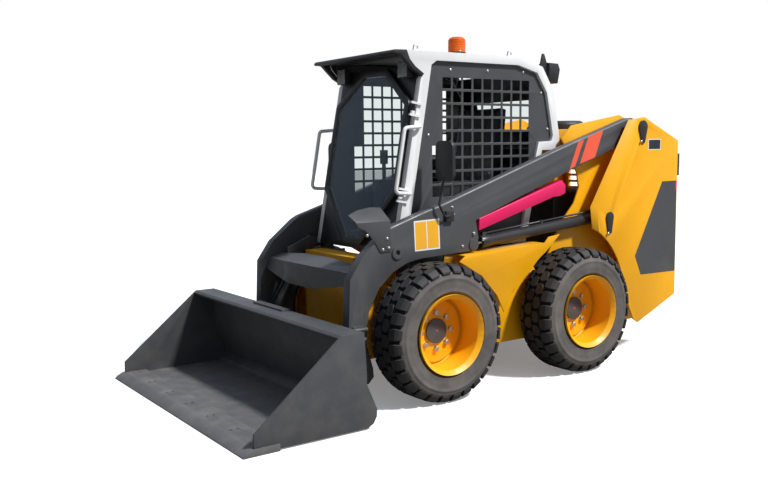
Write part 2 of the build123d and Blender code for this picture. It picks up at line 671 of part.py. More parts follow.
for end, axle_y in axles:
    for name, side in SIDES:
        hub = Plane(origin=(side * wheel_x, axle_y, axle_z), x_dir=(0, 1, 0), z_dir=(side, 0, 0))
        spin = Axis((side * wheel_x, axle_y, axle_z), (1, 0, 0))
        section = Plane(origin=(side * wheel_x, axle_y, axle_z), x_dir=(0, 0, 1),
                        z_dir=(0, side, 0))
        with BuildPart() as tyre:
            with Locations((side * wheel_x, axle_y, axle_z)):
                add(tyre_blank.part)
        save(tyre, f"tyre_{end}_{name}")
        rim_profile = [
            (seat_r, -half_w + bead_in), (rim_flange_r, -half_w + lip_in), (rim_flange_r, -half_w - 4),
            (well_r, -half_w + 20), (well_r, disc_out - rim_step), (hub_r, disc_out - rim_step),
            (hub_r, hub_in), (spindle_r + running_gap, hub_in), (spindle_r + running_gap, cap_in),
            (hub_cap_r - 8, cap_in), (hub_cap_r - 8, disc_out), (rim_disc_r, disc_out),
            (rim_disc_r + 4, disc_out - 16), (well_r - 6, disc_out - 16), (well_r, disc_out - 8),
            (well_r, half_w - 20), (rim_flange_r, half_w + 4),
            (rim_flange_r, half_w - lip_in), (seat_r, half_w - bead_in),
        ]
        with BuildPart() as rim:
            with BuildSketch(section) as steel:
                with BuildLine():
                    Polyline(*rim_profile, close=True)
                make_face()
            revolve(steel.sketch, axis=spin)
            with BuildSketch(hub.offset(hub_cap_x - wheel_x - hub_cap_t)) as cap:
                Circle(hub_cap_r)
            extrude(cap.sketch, amount=hub_cap_t)
            with BuildSketch(hub.offset(disc_out)) as studs:
                with PolarLocations(stud_circle_r, stud_count):
                    RegularPolygon(16, 6)
            extrude(studs.sketch, amount=18)
        save(rim, f"rim_{end}_{name}")

# ---- boom ---------------------------------------------------------------------------------
arm_foot_r = 58
arm_roll_r = 17             # rolled top edges of the arms
arch = [polar(front_axle_y, axle_z, tyre_r + wheel_clear, turn)
        for turn in (185, 160, 140, 122, 106, 92)]
arm_front = [(-946, 405), (-931, 703), (-846, 822), (-775, 878), (-687, 949), (-643, 976),
             (-428, 1043)]
arm_top = [(-321, 1071), (133, 1215), (633, 1380), (hinge_y - 104, hinge_z + 52)]
arm_under = [(hinge_y - 287, hinge_z - 163), (748, 1248), (-56, 970), (-34, 864), (-56, 795),
             (-194, 789)]
arm_outline = arm_front + arm_top + [(hinge_y - 46, hinge_z + 60), (hinge_y + 40, hinge_z + 40),
                                     (hinge_y + 60, hinge_z), (hinge_y + 30, hinge_z - 62)]
arm_outline += arm_under + list(reversed(arch)) + [
    polar(coupler_y, coupler_z, arm_foot_r, 30), polar(coupler_y, coupler_z, arm_foot_r, -20),
    polar(coupler_y, coupler_z, arm_foot_r, -70), polar(coupler_y, coupler_z, arm_foot_r, -110),
    polar(coupler_y, coupler_z, arm_foot_r, -160), polar(coupler_y, coupler_z, arm_foot_r, 170)]
eye_slot = [(lift_eye_y - 70, 700), (lift_eye_y - 70, lift_eye_z + 45),
            (lift_eye_y + 60, lift_eye_z + 150), (lift_eye_y + 200, lift_eye_z + 100),
            (lift_eye_y + 200, 700)]
top_line = [arm_front[-1]] + arm_top
rolled = [((y0 + y1) / 2, (z0 + z1) / 2) for (y0, z0), (y1, z1) in zip(top_line, top_line[1:])]
couplings = ((430, 12, -960, -842), (375, 14, -945, -848))   # z, radius, front y, rear y
for name, side in SIDES:
    with BuildPart() as arm:
        side_plate(arm_outline, arm_in_x, arm_outer_x, side)
        side_plate(eye_slot, arm_in_x + arm_wall, arm_outer_x - arm_wall, side, Mode.SUBTRACT)
        bores = [(hinge_y, hinge_z, hinge_pin_r + pin_gap),
                 (coupler_y, coupler_z, coupler_pin_r + pin_gap)]
        for y, z, r in bores:
            cross_rod(y, z, r, arm_in_x - 1, arm_outer_x + 1, side, Mode.SUBTRACT)
        fillet([edge for edge in arm.edges() if min(
            math.dist((edge.center().Y, edge.center().Z), middle) for middle in rolled) < 1], arm_roll_r)
        cross_rod(tilt_base_y, tilt_base_z, tilt_pin_r + 16, arm_outer_x, arm_outer_x + 8, side)
        cross_rod(tilt_base_y, tilt_base_z, tilt_pin_r - 5, arm_outer_x - 6, arm_outer_x + 9, side,
                  Mode.SUBTRACT)
        cross_rod(tilt_base_y, tilt_base_z, tilt_pin_r, tilt_x - 45, arm_in_x, side)
        cross_rod(lift_eye_y, lift_eye_z, 34, arm_outer_x, arm_outer_x + 7, side)
        if side == LEFT:
            block(arm_outer_x - 1, arm_outer_x + 10, -925, -855, 360, 448)
            for z, r, y0, y1 in couplings:
                with BuildSketch(Plane.XZ.offset(-y0)) as line:
                    with Locations((arm_outer_x + 20, z)):
                        Circle(r)
                extrude(line.sketch, amount=y0 - y1)
    save(arm, f"arm_{name}")

member_mid = [(-795, 610), (-795, 772), (-930, 735), (-930, 605)]
member_end = [(-795, 700), (-795, 748), (-875, 722), (-900, 660)]
member_mid_x = 150
with BuildPart() as cross_member:
    side_plate(member_mid, -member_mid_x, member_mid_x)
    for name, side in SIDES:
        ends = []
        for x, profile in ((member_mid_x, member_mid), (arm_in_x, member_end)):
            with BuildSketch(Plane.YZ.offset(side * x)) as section:
                with BuildLine():
                    Polyline(*profile, close=True)
                make_face()
            ends.append(section.sketch)
        loft(ends, ruled=True)
    for name, side in SIDES:
        side_plate([(-800, 700), (-800, 790), polar(tilt_base_y, tilt_base_z, 36, 120),
                    polar(tilt_base_y, tilt_base_z, 36, 20), polar(tilt_base_y, tilt_base_z, 36, -60)],
                   tilt_x - 57, tilt_x - 45, side)
save(cross_member, "cross_member")

guard_side = [
    (-905, 1040), (-828, 1062), (-729, 1074), (-670, 1070), (-665, 835), (-735, 832), (-774, 896),
    (-830, 957), (-876, 974),
]
guard_sheet = 5
guard_in_x = arm_in_x - 38
with BuildPart() as hose_guards:
    with BuildSketch(Plane.XZ.offset(665)) as fold:
        with BuildLine():
            Polyline((arm_outer_x, 830), (arm_outer_x + guard_sheet, 830),
                     (arm_outer_x + guard_sheet, 1002), (guard_in_x, 1078),
                     (guard_in_x, 1078 - guard_sheet), (arm_outer_x, 1002 - guard_sheet), close=True)
        make_face()
    extrude(fold.sketch, amount=240)
    side_plate(guard_side, 0, arm_outer_x + guard_sheet, mode=Mode.INTERSECT)
save(hose_guards, "hose_guards")

strut_path = [(-30, 978.7), (652, 1180), (683, 1150), (683, 1099), (638, 1082), (577, 1078),
              (-23, 911), (-33, 909)]
with BuildPart() as lift_strut:
    side_plate(strut_path, arm_in_x + 12, arm_outer_x + 4)
save(lift_strut, "lift_strut")

mirror_arm = [(arm_outer_x + 16, -262, 1006), (arm_outer_x + 32, -310, 1006),
              (arm_outer_x + 32, -352, 1075), (arm_outer_x + 32, -301, 1307)]
with BuildPart() as mirrors:
    for name, side in SIDES:
        with BuildLine() as path:
            FilletPolyline(*[(side * x, y, z) for x, y, z in mirror_arm], radius=20)
        with BuildSketch(Plane(origin=path.line @ 0, z_dir=path.line % 0)) as bar:
            Circle(7)
        sweep(bar.sketch, path=path.line)
        block(side * arm_outer_x, side * (arm_outer_x + 20), -290, -235, 975, 1034)
        with BuildSketch(Plane.XZ.offset(300)) as mirror:
            with Locations((side * (arm_outer_x + 38), 1318)):
                RectangleRounded(150, 226, 40)
        extrude(mirror.sketch, amount=22)
save(mirrors, "mirrors")

# ---- bucket and coupler -------------------------------------------------------------------
t = bucket_plate
shell_half_w = bucket_half_w - bucket_side_in
bucket_side = [
    (bucket_lip_y + 60, 100), (bucket_lip_y + 528, 484), (bucket_lip_y + 545, 497), (-1075, 497),
    (-1063, 300), (-1063, 234), (-1004, 100), (-1006, 62), (-1026, 27), (-1062, 9),
    (bucket_lip_y + edge_depth, 9), (bucket_lip_y + edge_depth, edge_top),
    (bucket_lip_y + 58, edge_top),
]
bucket_hollow = [
    (bucket_lip_y - 60, 9 + t), (bucket_lip_y + 190, 9 + t), (-1064, 9 + t), (-1036, 36), (-1020, 62),
    (-1018, 92), (-1075, 229), (-1075, 300), (-1087, 497 - t), (bucket_lip_y + 530, 497 - t),
    (bucket_lip_y + 400, 600), (bucket_lip_y - 60, 600),
]
edge_pairs = (-840, -560, -280, 0, 280, 560, 840)
edge_pitch = 38
edge_bolt_y = bucket_lip_y + 110


def edge_bolts(z0, depth):
    """Cuts the pairs of upright bolt holes of the cutting edge through a plate."""
    for x in edge_pairs:
        with BuildSketch(Plane.XY.offset(z0 - 1)) as pair:
            with Locations((x, edge_bolt_y)):
                with GridLocations(1, edge_pitch, 1, 2):
                    Circle(edge_bolt_r)
        extrude(pair.sketch, amount=depth + 2, mode=Mode.SUBTRACT)


with BuildPart() as bucket_shell:
    side_plate(bucket_side, -shell_half_w, shell_half_w)
    side_plate(bucket_hollow, -shell_half_w + t, shell_half_w - t, mode=Mode.SUBTRACT)
    cross_rod(bucket_lip_y + 556, 497 - rolled_edge_r, rolled_edge_r, -shell_half_w + t / 2,
              shell_half_w - t / 2)
    block(-215, 140, -1128, -1078, 490, 507)
save(bucket_shell, "bucket_shell")

edge_z0 = bucket_ground
with BuildPart() as cutting_edge:
    side_plate([(bucket_lip_y, edge_z0), (bucket_lip_y, edge_z0 + 5), (bucket_lip_y + 48, edge_top),
                (bucket_lip_y + edge_depth, edge_top), (bucket_lip_y + edge_depth, edge_z0)],
               -bucket_half_w, bucket_half_w)
    edge_bolts(edge_z0, edge_top - edge_z0)
save(cutting_edge, "cutting_edge")

ear_in, ear_out = tilt_x - 48, tilt_x + 36
coupler_half_w = arm_in_x - 10
tilt_pin_y, tilt_pin_z = polar(coupler_y, coupler_z, tilt_pin_reach, tilt_pin_angle)
ear = [
    (-1050, 240), (-1055, 440), (-1040, 470), polar(tilt_pin_y, tilt_pin_z, 42, 80),
    polar(tilt_pin_y, tilt_pin_z, 42, 20), polar(coupler_y, coupler_z, 48, 30),
    polar(coupler_y, coupler_z, 48, -20), polar(coupler_y, coupler_z, 48, -80), (-940, 120),
    (-990, 120), (-1022, 175),
]
with BuildPart() as coupler:
    side_plate([(-1062.7, 240), (-1062.7, 300), (-1073, 470), (-1055, 470), (-1045, 240)],
               -coupler_half_w, coupler_half_w)
    for name, side in SIDES:
        for x in (ear_in, ear_out):
            side_plate(ear, x, x + 12, side)
        cross_rod(coupler_y, coupler_z, coupler_pin_r, ear_in, arm_outer_x + 12, side)
        cross_rod(tilt_pin_y, tilt_pin_z, 30, ear_out + 12, ear_out + 19, side)
        cross_rod(tilt_pin_y, tilt_pin_z, 30, ear_in - 7, ear_in, side)
save(coupler, "coupler")


# ---- cylinders ----------------------------------------------------------------------------
def cylinder_axes(y0, z0, y1, z1, x):
    """A plane at the barrel's pin whose Z runs to the rod's pin, and their distance."""
    reach = math.hypot(y1 - y0, z1 - z0)
    return Plane(origin=(x, y0, z0), x_dir=(1, 0, 0), z_dir=(0, y1 - y0, z1 - z0)), reach


def barrel_and_rod(label, base, eye, x, tube_r, rod_r, head, travel, pin_r, eye_w, eye_r):
    """Writes a cylinder's barrel, from its pin to its gland, and the rod with its eye."""
    along, reach = cylinder_axes(*base, *eye, x)
    out, back = travel
    gland = reach - head
    rod_end = gland - out - 75
    with BuildPart() as barrel:
        with BuildSketch(along.offset(eye_r - 6)) as outer:
            Circle(tube_r)
        extrude(outer.sketch, amount=gland - eye_r + 6)
        with BuildSketch(along.offset(gland - 60)) as collar:
            Circle(tube_r + 3)
        extrude(collar.sketch, amount=60)
        with BuildSketch(along.offset(rod_end - back - 5)) as bore:
            Circle(tube_r - cylinder_wall)
        extrude(bore.sketch, amount=gland - 40 - rod_end + back + 5, mode=Mode.SUBTRACT)
        with BuildSketch(along.offset(gland - 45)) as neck:
            Circle(rod_r + pin_gap)
        extrude(neck.sketch, amount=50, mode=Mode.SUBTRACT)
        cross_rod(*base, eye_r, x - eye_w / 2, x + eye_w / 2)
        cross_rod(*base, pin_r + pin_gap, x - eye_w, x + eye_w, mode=Mode.SUBTRACT)
        feed_start, rise = eye_r + 44, tube_r + feed_r + 5
        with BuildSketch(along.offset(feed_start)) as feed:
            with Locations((0, rise)):
                Circle(feed_r)
        extrude(feed.sketch, amount=gland - 30 - feed_start)
        with BuildSketch(along.offset(feed_start - 4)) as union:
            with Locations((0, rise)):
                RegularPolygon(feed_r + 5, 6)
        extrude(union.sketch, amount=22)
        for distance, length in ((feed_start + 24, 18), (gland / 2, 18), (gland - 46, 28)):
            with BuildSketch(along.offset(distance)) as clamp:
                with Locations((0, (tube_r - 4 + rise + feed_r + 3) / 2)):
                    Rectangle(2 * feed_r + 8, rise + feed_r + 7 - tube_r)
            extrude(clamp.sketch, amount=length)
    save(barrel, f"{label[0]}_barrel_{label[1]}")
    with BuildPart() as rod:
        with BuildSketch(along.offset(rod_end)) as shaft:
            Circle(rod_r)
        extrude(shaft.sketch, amount=reach - eye_r + 8 - rod_end)
        cross_rod(*eye, eye_r, x - eye_w / 2, x + eye_w / 2)
    save(rod, f"{label[0]}_rod_{label[1]}")


for name, side in SIDES:
    barrel_and_rod(("lift", name), (lift_base_y, lift_base_z), (lift_eye_y, lift_eye_z),
                   side * (arm_in_x + arm_w / 2), lift_tube_r, lift_rod_r, lift_closed_head,
                   (lift_stroke, 0), lift_pin_r, 34, 36)
    barrel_and_rod(("tilt", name), (tilt_base_y, tilt_base_z), (tilt_pin_y, tilt_pin_z),
                   side * tilt_x, tilt_tube_r, tilt_rod_r, tilt_closed_head,
                   (tilt_stroke_out, tilt_stroke_in), tilt_pin_r, 36, 32)
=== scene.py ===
# %% [markdown]
# # A skid steer loader in the studio
# The measured model comes in as a frame that stays where it is. This notebook dresses it: it
# softens the plates' edges, adds tread, fasteners, cushions and trim, and gives every piece a
# finish made from nodes.

# %% The frame and its box
import json
import math

import bmesh
import bpy
from mathutils import Matrix, Vector


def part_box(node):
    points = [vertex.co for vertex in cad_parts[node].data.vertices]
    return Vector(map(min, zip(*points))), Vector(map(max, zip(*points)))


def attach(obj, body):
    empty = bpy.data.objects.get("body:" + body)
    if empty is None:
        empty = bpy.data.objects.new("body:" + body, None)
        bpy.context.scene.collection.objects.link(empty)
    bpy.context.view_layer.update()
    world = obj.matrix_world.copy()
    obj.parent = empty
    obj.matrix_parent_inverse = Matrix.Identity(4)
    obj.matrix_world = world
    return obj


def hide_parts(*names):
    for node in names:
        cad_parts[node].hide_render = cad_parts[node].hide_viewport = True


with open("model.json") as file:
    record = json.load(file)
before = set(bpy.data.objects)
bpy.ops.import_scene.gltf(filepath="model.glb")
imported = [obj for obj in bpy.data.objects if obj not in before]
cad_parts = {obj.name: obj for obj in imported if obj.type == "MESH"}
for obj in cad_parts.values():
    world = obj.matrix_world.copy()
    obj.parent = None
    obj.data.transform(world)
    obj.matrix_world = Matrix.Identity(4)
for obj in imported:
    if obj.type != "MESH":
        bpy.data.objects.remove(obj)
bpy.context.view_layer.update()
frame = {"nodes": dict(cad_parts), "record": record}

nodes = frame["nodes"]
carrier = {node: body for body, members in frame["record"]["behaviour"]["bodies"].items()
           for node in members}
finish_slot = {row["node"]: row["material_slot"] for row in frame["record"]["subparts"]}
SIDES = (("left", 1), ("right", -1))

# %% [markdown]
# The camera comes first, because every later choice is judged through it. Its place and turn
# are written as a point and three angles, and its axes are worked out from them, so that the
# small roll of a hand-held camera is kept too.

# %% The camera
eye = Vector((4.4308, -3.4279, 1.3997))
turn, dip, roll = 0.96104, 0.11387, -0.01284
backward = Vector((math.sin(turn) * math.cos(dip), -math.cos(turn) * math.cos(dip), math.sin(dip)))
level_right = Vector((0, 0, 1)).cross(backward).normalized()
level_up = backward.cross(level_right)
right = math.cos(roll) * level_right + math.sin(roll) * level_up
upward = backward.cross(right)
camera_data = bpy.data.cameras.new("studio_camera")
camera_data.lens, camera_data.sensor_width = 41.36, 36.0
camera = bpy.data.objects.new("studio_camera", camera_data)
camera.matrix_world = Matrix.Translation(eye) @ Matrix((right, upward, backward)).transposed().to_4x4()
bpy.context.scene.collection.objects.link(camera)
bpy.context.scene.camera = camera
bpy.context.scene.view_settings.view_transform = "Standard"

# %% [markdown]
# A machine this size is shown on a pale sweep under one large lamp, high on its left and a
# little behind it. The sky is white where it is looked at, straight or through glass. As a lamp
# it is bluish overhead and dim toward the front, so the faces turned away from the sun stay deep.
# The floor bounces less light than it shows, for the same reason.

# %% Light, sky and floor
sun_data = bpy.data.lights.new("key_lamp", "SUN")
sun_data.energy, sun_data.angle = 4.3, math.radians(6)
sun = bpy.data.objects.new("key_lamp", sun_data)
sun.rotation_euler = Vector((0.56, 0.30, 0.77)).to_track_quat("Z", "Y").to_euler()
bpy.context.scene.collection.objects.link(sun)


def wire(tree, source, target):
    """Joins an output socket to an input socket."""
    tree.links.new(source, target)


def ray_is(tree, *kinds):
    """An output that is 1 for rays of the given kinds and 0 for all others."""
    path = tree.nodes.new("ShaderNodeLightPath")
    total = path.outputs[kinds[0]]
    for kind in kinds[1:]:
        either = tree.nodes.new("ShaderNodeMath")
        either.operation = "MAXIMUM"
        wire(tree, total, either.inputs[0])
        wire(tree, path.outputs[kind], either.inputs[1])
        total = either.outputs[0]
    return total


sky = bpy.data.worlds.new("open_sky")
sky.use_nodes = True
bpy.context.scene.world = sky
sky_tree = sky.node_tree
sky_fill = sky_tree.nodes["Background"]
looking = sky_tree.nodes.new("ShaderNodeSeparateXYZ")
wire(sky_tree, sky_tree.nodes.new("ShaderNodeTexCoord").outputs["Generated"], looking.inputs[0])
height_tint = sky_tree.nodes.new("ShaderNodeValToRGB")
height_tint.color_ramp.elements[0].color = (0.20, 0.20, 0.21, 1)
height_tint.color_ramp.elements[1].color = (0.44, 0.53, 0.66, 1)
wire(sky_tree, looking.outputs["Z"], height_tint.inputs["Fac"])
wire(sky_tree, height_tint.outputs["Color"], sky_fill.inputs["Color"])
toward_back = sky_tree.nodes.new("ShaderNodeMapRange")
for socket, value in (("From Min", -1.0), ("From Max", 0.6), ("To Min", 0.35), ("To Max", 1.0)):
    toward_back.inputs[socket].default_value = value
wire(sky_tree, looking.outputs["Y"], toward_back.inputs["Value"])
glossy_gain = sky_tree.nodes.new("ShaderNodeMath")
glossy_gain.operation = "MULTIPLY_ADD"
wire(sky_tree, ray_is(sky_tree, "Is Glossy Ray"), glossy_gain.inputs[0])
wire(sky_tree, toward_back.outputs[0], glossy_gain.inputs[1])
wire(sky_tree, toward_back.outputs[0], glossy_gain.inputs[2])
wire(sky_tree, glossy_gain.outputs[0], sky_fill.inputs["Strength"])
sky_white = sky_tree.nodes.new("ShaderNodeBackground")
sky_white.inputs["Color"].default_value = (1, 1, 1, 1)
sky_mix = sky_tree.nodes.new("ShaderNodeMixShader")
wire(sky_tree, ray_is(sky_tree, "Is Camera Ray", "Is Transmission Ray"), sky_mix.inputs[0])
wire(sky_tree, sky_fill.outputs[0], sky_mix.inputs[1])
wire(sky_tree, sky_white.outputs[0], sky_mix.inputs[2])
wire(sky_tree, sky_mix.outputs[0], sky_tree.nodes["World Output"].inputs["Surface"])

floor_mesh = bpy.data.meshes.new("studio_floor")
floor_mesh.from_pydata([(-40, -40, 0), (40, -40, 0), (40, 40, 0), (-40, 40, 0)], [], [(0, 1, 2, 3)])
floor = bpy.data.objects.new("studio_floor", floor_mesh)
bpy.context.scene.collection.objects.link(floor)
floor_finish = bpy.data.materials.new("pale_floor")
floor_finish.use_nodes = True
floor_tree = floor_finish.node_tree
floor_shader = floor_tree.nodes["Principled BSDF"]
floor_shader.inputs["Base Color"].default_value = (0.86, 0.86, 0.86, 1)
floor_shader.inputs["Roughness"].default_value = 0.9
floor_shader.inputs["Specular IOR Level"].default_value = 0.1
floor_bounce = floor_tree.nodes.new("ShaderNodeBsdfDiffuse")
floor_bounce.inputs["Color"].default_value = (0.30, 0.29, 0.28, 1)
floor_glow = floor_tree.nodes.new("ShaderNodeEmission")
floor_glow.inputs["Color"].default_value = (0.22, 0.22, 0.22, 1)
floor_sum = floor_tree.nodes.new("ShaderNodeAddShader")
floor_pick = floor_tree.nodes.new("ShaderNodeMixShader")
wire(floor_tree, floor_shader.outputs[0], floor_sum.inputs[0])
wire(floor_tree, floor_glow.outputs[0], floor_sum.inputs[1])
wire(floor_tree, ray_is(floor_tree, "Is Camera Ray"), floor_pick.inputs[0])
wire(floor_tree, floor_bounce.outputs[0], floor_pick.inputs[1])
wire(floor_tree, floor_sum.outputs[0], floor_pick.inputs[2])
wire(floor_tree, floor_pick.outputs[0], floor_tree.nodes["Material Output"].inputs["Surface"])
floor_mesh.materials.append(floor_finish)

# %% [markdown]
# Every finish is built on one shader. A small helper makes a node, fills in its inputs by name
# and joins it up, so that each finish below reads like a recipe. All patterns are measured in
# metres on the piece itself, which is why they stay put when a body moves.

# %% Helpers for finishes
def node_in(tree, kind, inputs=None, **settings):
    """A new node with its settings and inputs filled in; an input may be a value or a socket."""
    made = tree.nodes.new(kind)
    for name, value in settings.items():
        setattr(made, name, value)
    for name, value in (inputs or {}).items():
        if isinstance(value, bpy.types.NodeSocket):
            wire(tree, value, made.inputs[name])
        else:
            made.inputs[name].default_value = value
    return made


def plain_finish(name, color, roughness, **values):
    """A material with plain numbers on its shader."""
    made = bpy.data.materials.new(name)
    made.use_nodes = True
    shader = made.node_tree.nodes["Principled BSDF"]
    shader.inputs["Base Color"].default_value = (*color, 1)
    shader.inputs["Roughness"].default_value = roughness
    for socket, value in values.items():
        shader.inputs[socket.replace("_", " ")].default_value = value
    made.diffuse_color = (*color, 1)
    return made


def noise_at(tree, scale, detail=3.0, stretch=(1, 1, 1)):
    """A noise on the piece's own place, in cycles per metre."""
    place = node_in(tree, "ShaderNodeTexCoord").outputs["Object"]
    if stretch != (1, 1, 1):
        place = node_in(tree, "ShaderNodeMapping", {"Vector": place, "Scale": stretch}).outputs[0]
    return node_in(tree, "ShaderNodeTexNoise",
                   {"Vector": place, "Scale": scale, "Detail": detail, "Roughness": 0.6}).outputs["Fac"]


def ranged(tree, value, from_low, from_high, to_low=0.0, to_high=1.0):
    """A value carried from one range to another, and held inside it."""
    return node_in(tree, "ShaderNodeMapRange", {
        "Value": value, "From Min": from_low, "From Max": from_high,
        "To Min": to_low, "To Max": to_high}).outputs[0]


def mixed(tree, factor, first, second):
    """Two colours mixed by a factor."""
    blend = tree.nodes.new("ShaderNodeMix")
    blend.data_type = "RGBA"
    wire(tree, factor, blend.inputs[0])
    for socket, color in ((blend.inputs[6], first), (blend.inputs[7], second)):
        if isinstance(color, bpy.types.NodeSocket):
            wire(tree, color, socket)
        else:
            socket.default_value = (*color, 1)
    return blend.outputs[2]


def combined(tree, first, second, operation="MULTIPLY"):
    """Two values joined by a sum or a product."""
    return node_in(tree, "ShaderNodeMath", {0: first, 1: second}, operation=operation).outputs[0]


def bumped(finish, height, distance, strength=1.0):
    """Raises a finish's surface by a height pattern, in metres."""
    tree = finish.node_tree
    bump = node_in(tree, "ShaderNodeBump", {"Height": height, "Distance": distance, "Strength": strength})
    wire(tree, bump.outputs[0], tree.nodes["Principled BSDF"].inputs["Normal"])


# %% [markdown]
# Sprayed steel is never one flat colour. The coat has a fine orange peel, its tint drifts
# slightly from place to place, and dust settles low on the machine and in faint blotches. The
# same recipe with other numbers gives all of the machine's paints.

# %% Paints
DUST = (0.33, 0.27, 0.21)


def paint(name, color, roughness, dust, peel=0.00006, coat=0.0):
    """A sprayed paint with orange peel, a drifting tint and settled dust."""
    made = plain_finish(name, color, roughness, Coat_Weight=coat, Coat_Roughness=0.12)
    tree = made.node_tree
    shader = tree.nodes["Principled BSDF"]
    drift = ranged(tree, noise_at(tree, 2.3, 4.0), 0.3, 0.7)
    deeper = tuple(channel * 0.88 for channel in color)
    tint = mixed(tree, drift, deeper, color)
    height = node_in(tree, "ShaderNodeSeparateXYZ", {
        "Vector": node_in(tree, "ShaderNodeTexCoord").outputs["Object"]}).outputs["Z"]
    low_down = ranged(tree, height, 0.95, 0.15)
    blotch = ranged(tree, noise_at(tree, 9.0, 6.0), 0.42, 0.72)
    film = combined(tree, combined(tree, low_down, blotch), dust)
    specks = combined(tree, ranged(tree, noise_at(tree, 95.0, 2.0), 0.66, 0.78), dust * 0.35)
    wire(tree, mixed(tree, combined(tree, film, specks, "ADD"), tint, DUST), shader.inputs["Base Color"])
    wear = ranged(tree, noise_at(tree, 14.0, 5.0), 0.3, 0.75, roughness * 0.85, min(roughness * 1.35, 0.9))
    wire(tree, combined(tree, wear, combined(tree, film, 0.35), "ADD"), shader.inputs["Roughness"])
    bumped(made, noise_at(tree, 420.0, 2.0), peel)
    return made


YELLOW = (0.99, 0.455, 0.001)
orange_paint = paint("yellow_orange_paint", YELLOW, 0.40, 0.08, coat=0.0)
grey_paint = paint("charcoal_paint", (0.066, 0.067, 0.070), 0.42, 0.14, peel=0.0001)
bucket_paint = paint("bucket_charcoal_paint", (0.058, 0.060, 0.064), 0.44, 0.10, peel=0.0001)
worn_paint = paint("worn_floor_paint", (0.105, 0.105, 0.107), 0.5, 0.25, peel=0.0002)
black_paint = paint("satin_black_paint", (0.022, 0.023, 0.025), 0.36, 0.1)
white_paint = paint("cab_white_paint", (0.86, 0.86, 0.85), 0.32, 0.03, coat=0.3)
strut_paint = paint("magenta_paint", (0.80, 0.006, 0.115), 0.38, 0.05)
stripe_paint = paint("red_stripe_film", (0.93, 0.12, 0.055), 0.4, 0.03)
amber_film = paint("yellow_label_film", (0.95, 0.46, 0.02), 0.45, 0.03)
white_film = paint("white_label_film", (0.85, 0.85, 0.84), 0.45, 0.02)

# %% [markdown]
# Tyre rubber weathers to a brownish grey on the sidewall while the tread stays darker, and its
# moulded skin is matt and faintly rough. Seat vinyl and moulded plastic are nearly black, each
# with its own grain.

# %% Rubber and plastics
def rubbery(name, color, worn, roughness, grain, dusty):
    """Matt rubber or plastic whose high spots and blotches are paler."""
    made = plain_finish(name, color, roughness, Specular_IOR_Level=0.35)
    tree = made.node_tree
    blotch = ranged(tree, noise_at(tree, 7.0, 7.0), 0.35, 0.72, 0.0, dusty)
    fine = ranged(tree, noise_at(tree, 160.0, 3.0), 0.55, 0.8, 0.0, 0.35 * dusty)
    wire(tree, mixed(tree, combined(tree, blotch, fine, "ADD"), color, worn),
         tree.nodes["Principled BSDF"].inputs["Base Color"])
    bumped(made, noise_at(tree, grain, 4.0), 0.0004)
    return made


sidewall_rubber = rubbery("sidewall_rubber", (0.085, 0.078, 0.073), (0.19, 0.165, 0.145), 0.66, 260.0, 0.8)
tread_rubber = rubbery("tread_rubber", (0.020, 0.020, 0.021), (0.060, 0.053, 0.049), 0.6, 200.0, 0.5)
groove_rubber = rubbery("groove_rubber", (0.008, 0.008, 0.008), (0.02, 0.018, 0.017), 0.8, 200.0, 0.4)
seat_vinyl = rubbery("seat_vinyl", (0.024, 0.024, 0.026), (0.06, 0.06, 0.062), 0.5, 700.0, 0.3)
black_plastic = rubbery("moulded_plastic", (0.022, 0.022, 0.024), (0.045, 0.045, 0.047), 0.48, 620.0, 0.3)

# %% [markdown]
# Bare metals show in small places: zinc on the bolts and wheel nuts, and hard chrome on the
# cylinder rods. One recipe gives each its own blotch in tint and roughness. Glass and lenses
# follow, with a faint haze, flutes, rings or cells for what moulding leaves in them.

# %% Metals, glass and lenses
def metal(name, color, roughness, blotch_scale, spread):
    """A metal whose roughness varies in a blotchy pattern."""
    made = plain_finish(name, color, roughness, Metallic=1.0)
    tree = made.node_tree
    pattern = noise_at(tree, blotch_scale, 4.0)
    wire(tree, ranged(tree, pattern, 0.3, 0.7, roughness, roughness + spread),
         tree.nodes["Principled BSDF"].inputs["Roughness"])
    darker = tuple(channel * 0.72 for channel in color)
    wire(tree, mixed(tree, ranged(tree, pattern, 0.35, 0.65), darker, color),
         tree.nodes["Principled BSDF"].inputs["Base Color"])
    return made


zinc = metal("zinc_plate", (0.62, 0.61, 0.58), 0.3, 240.0, 0.25)
chrome = metal("hard_chrome", (0.80, 0.81, 0.83), 0.09, 90.0, 0.08)
cast_iron = metal("engine_castings", (0.12, 0.12, 0.12), 0.55, 60.0, 0.25)

# Its blue specular tint is a painted reflection of blue sky on the panes; the pale green that passes through
# is the glass's own tint.
tinted_glass = plain_finish("tinted_glass", (0.76, 0.84, 0.83), 0.015, Transmission_Weight=1.0,
                            IOR=1.26, Specular_Tint=(0.05, 0.40, 1.0, 1))
glass_tree = tinted_glass.node_tree
wire(glass_tree, ranged(glass_tree, noise_at(glass_tree, 6.0, 5.0), 0.45, 0.8, 0.01, 0.05),
     glass_tree.nodes["Principled BSDF"].inputs["Roughness"])
clear_lens = plain_finish("clear_lens", (0.9, 0.93, 0.95), 0.08, Transmission_Weight=0.8, IOR=1.45)
lens_tree = clear_lens.node_tree
lens_place = node_in(lens_tree, "ShaderNodeTexCoord").outputs["Object"]
flutes = node_in(lens_tree, "ShaderNodeTexWave", {"Vector": lens_place, "Scale": 40.0}, bands_direction="X")
bumped(clear_lens, flutes.outputs["Fac"], 0.0008)
amber_lens = plain_finish("amber_lens", (0.95, 0.16, 0.008), 0.12, Transmission_Weight=0.35, IOR=1.45)
amber_tree = amber_lens.node_tree
amber_place = node_in(amber_tree, "ShaderNodeTexCoord").outputs["Object"]
rings = node_in(amber_tree, "ShaderNodeTexWave", {"Vector": amber_place, "Scale": 22.0}, bands_direction="Z")
bumped(amber_lens, rings.outputs["Fac"], 0.0012)
red_lens = plain_finish("red_lens", (0.55, 0.01, 0.01), 0.12, Transmission_Weight=0.3, IOR=1.45)
red_tree = red_lens.node_tree
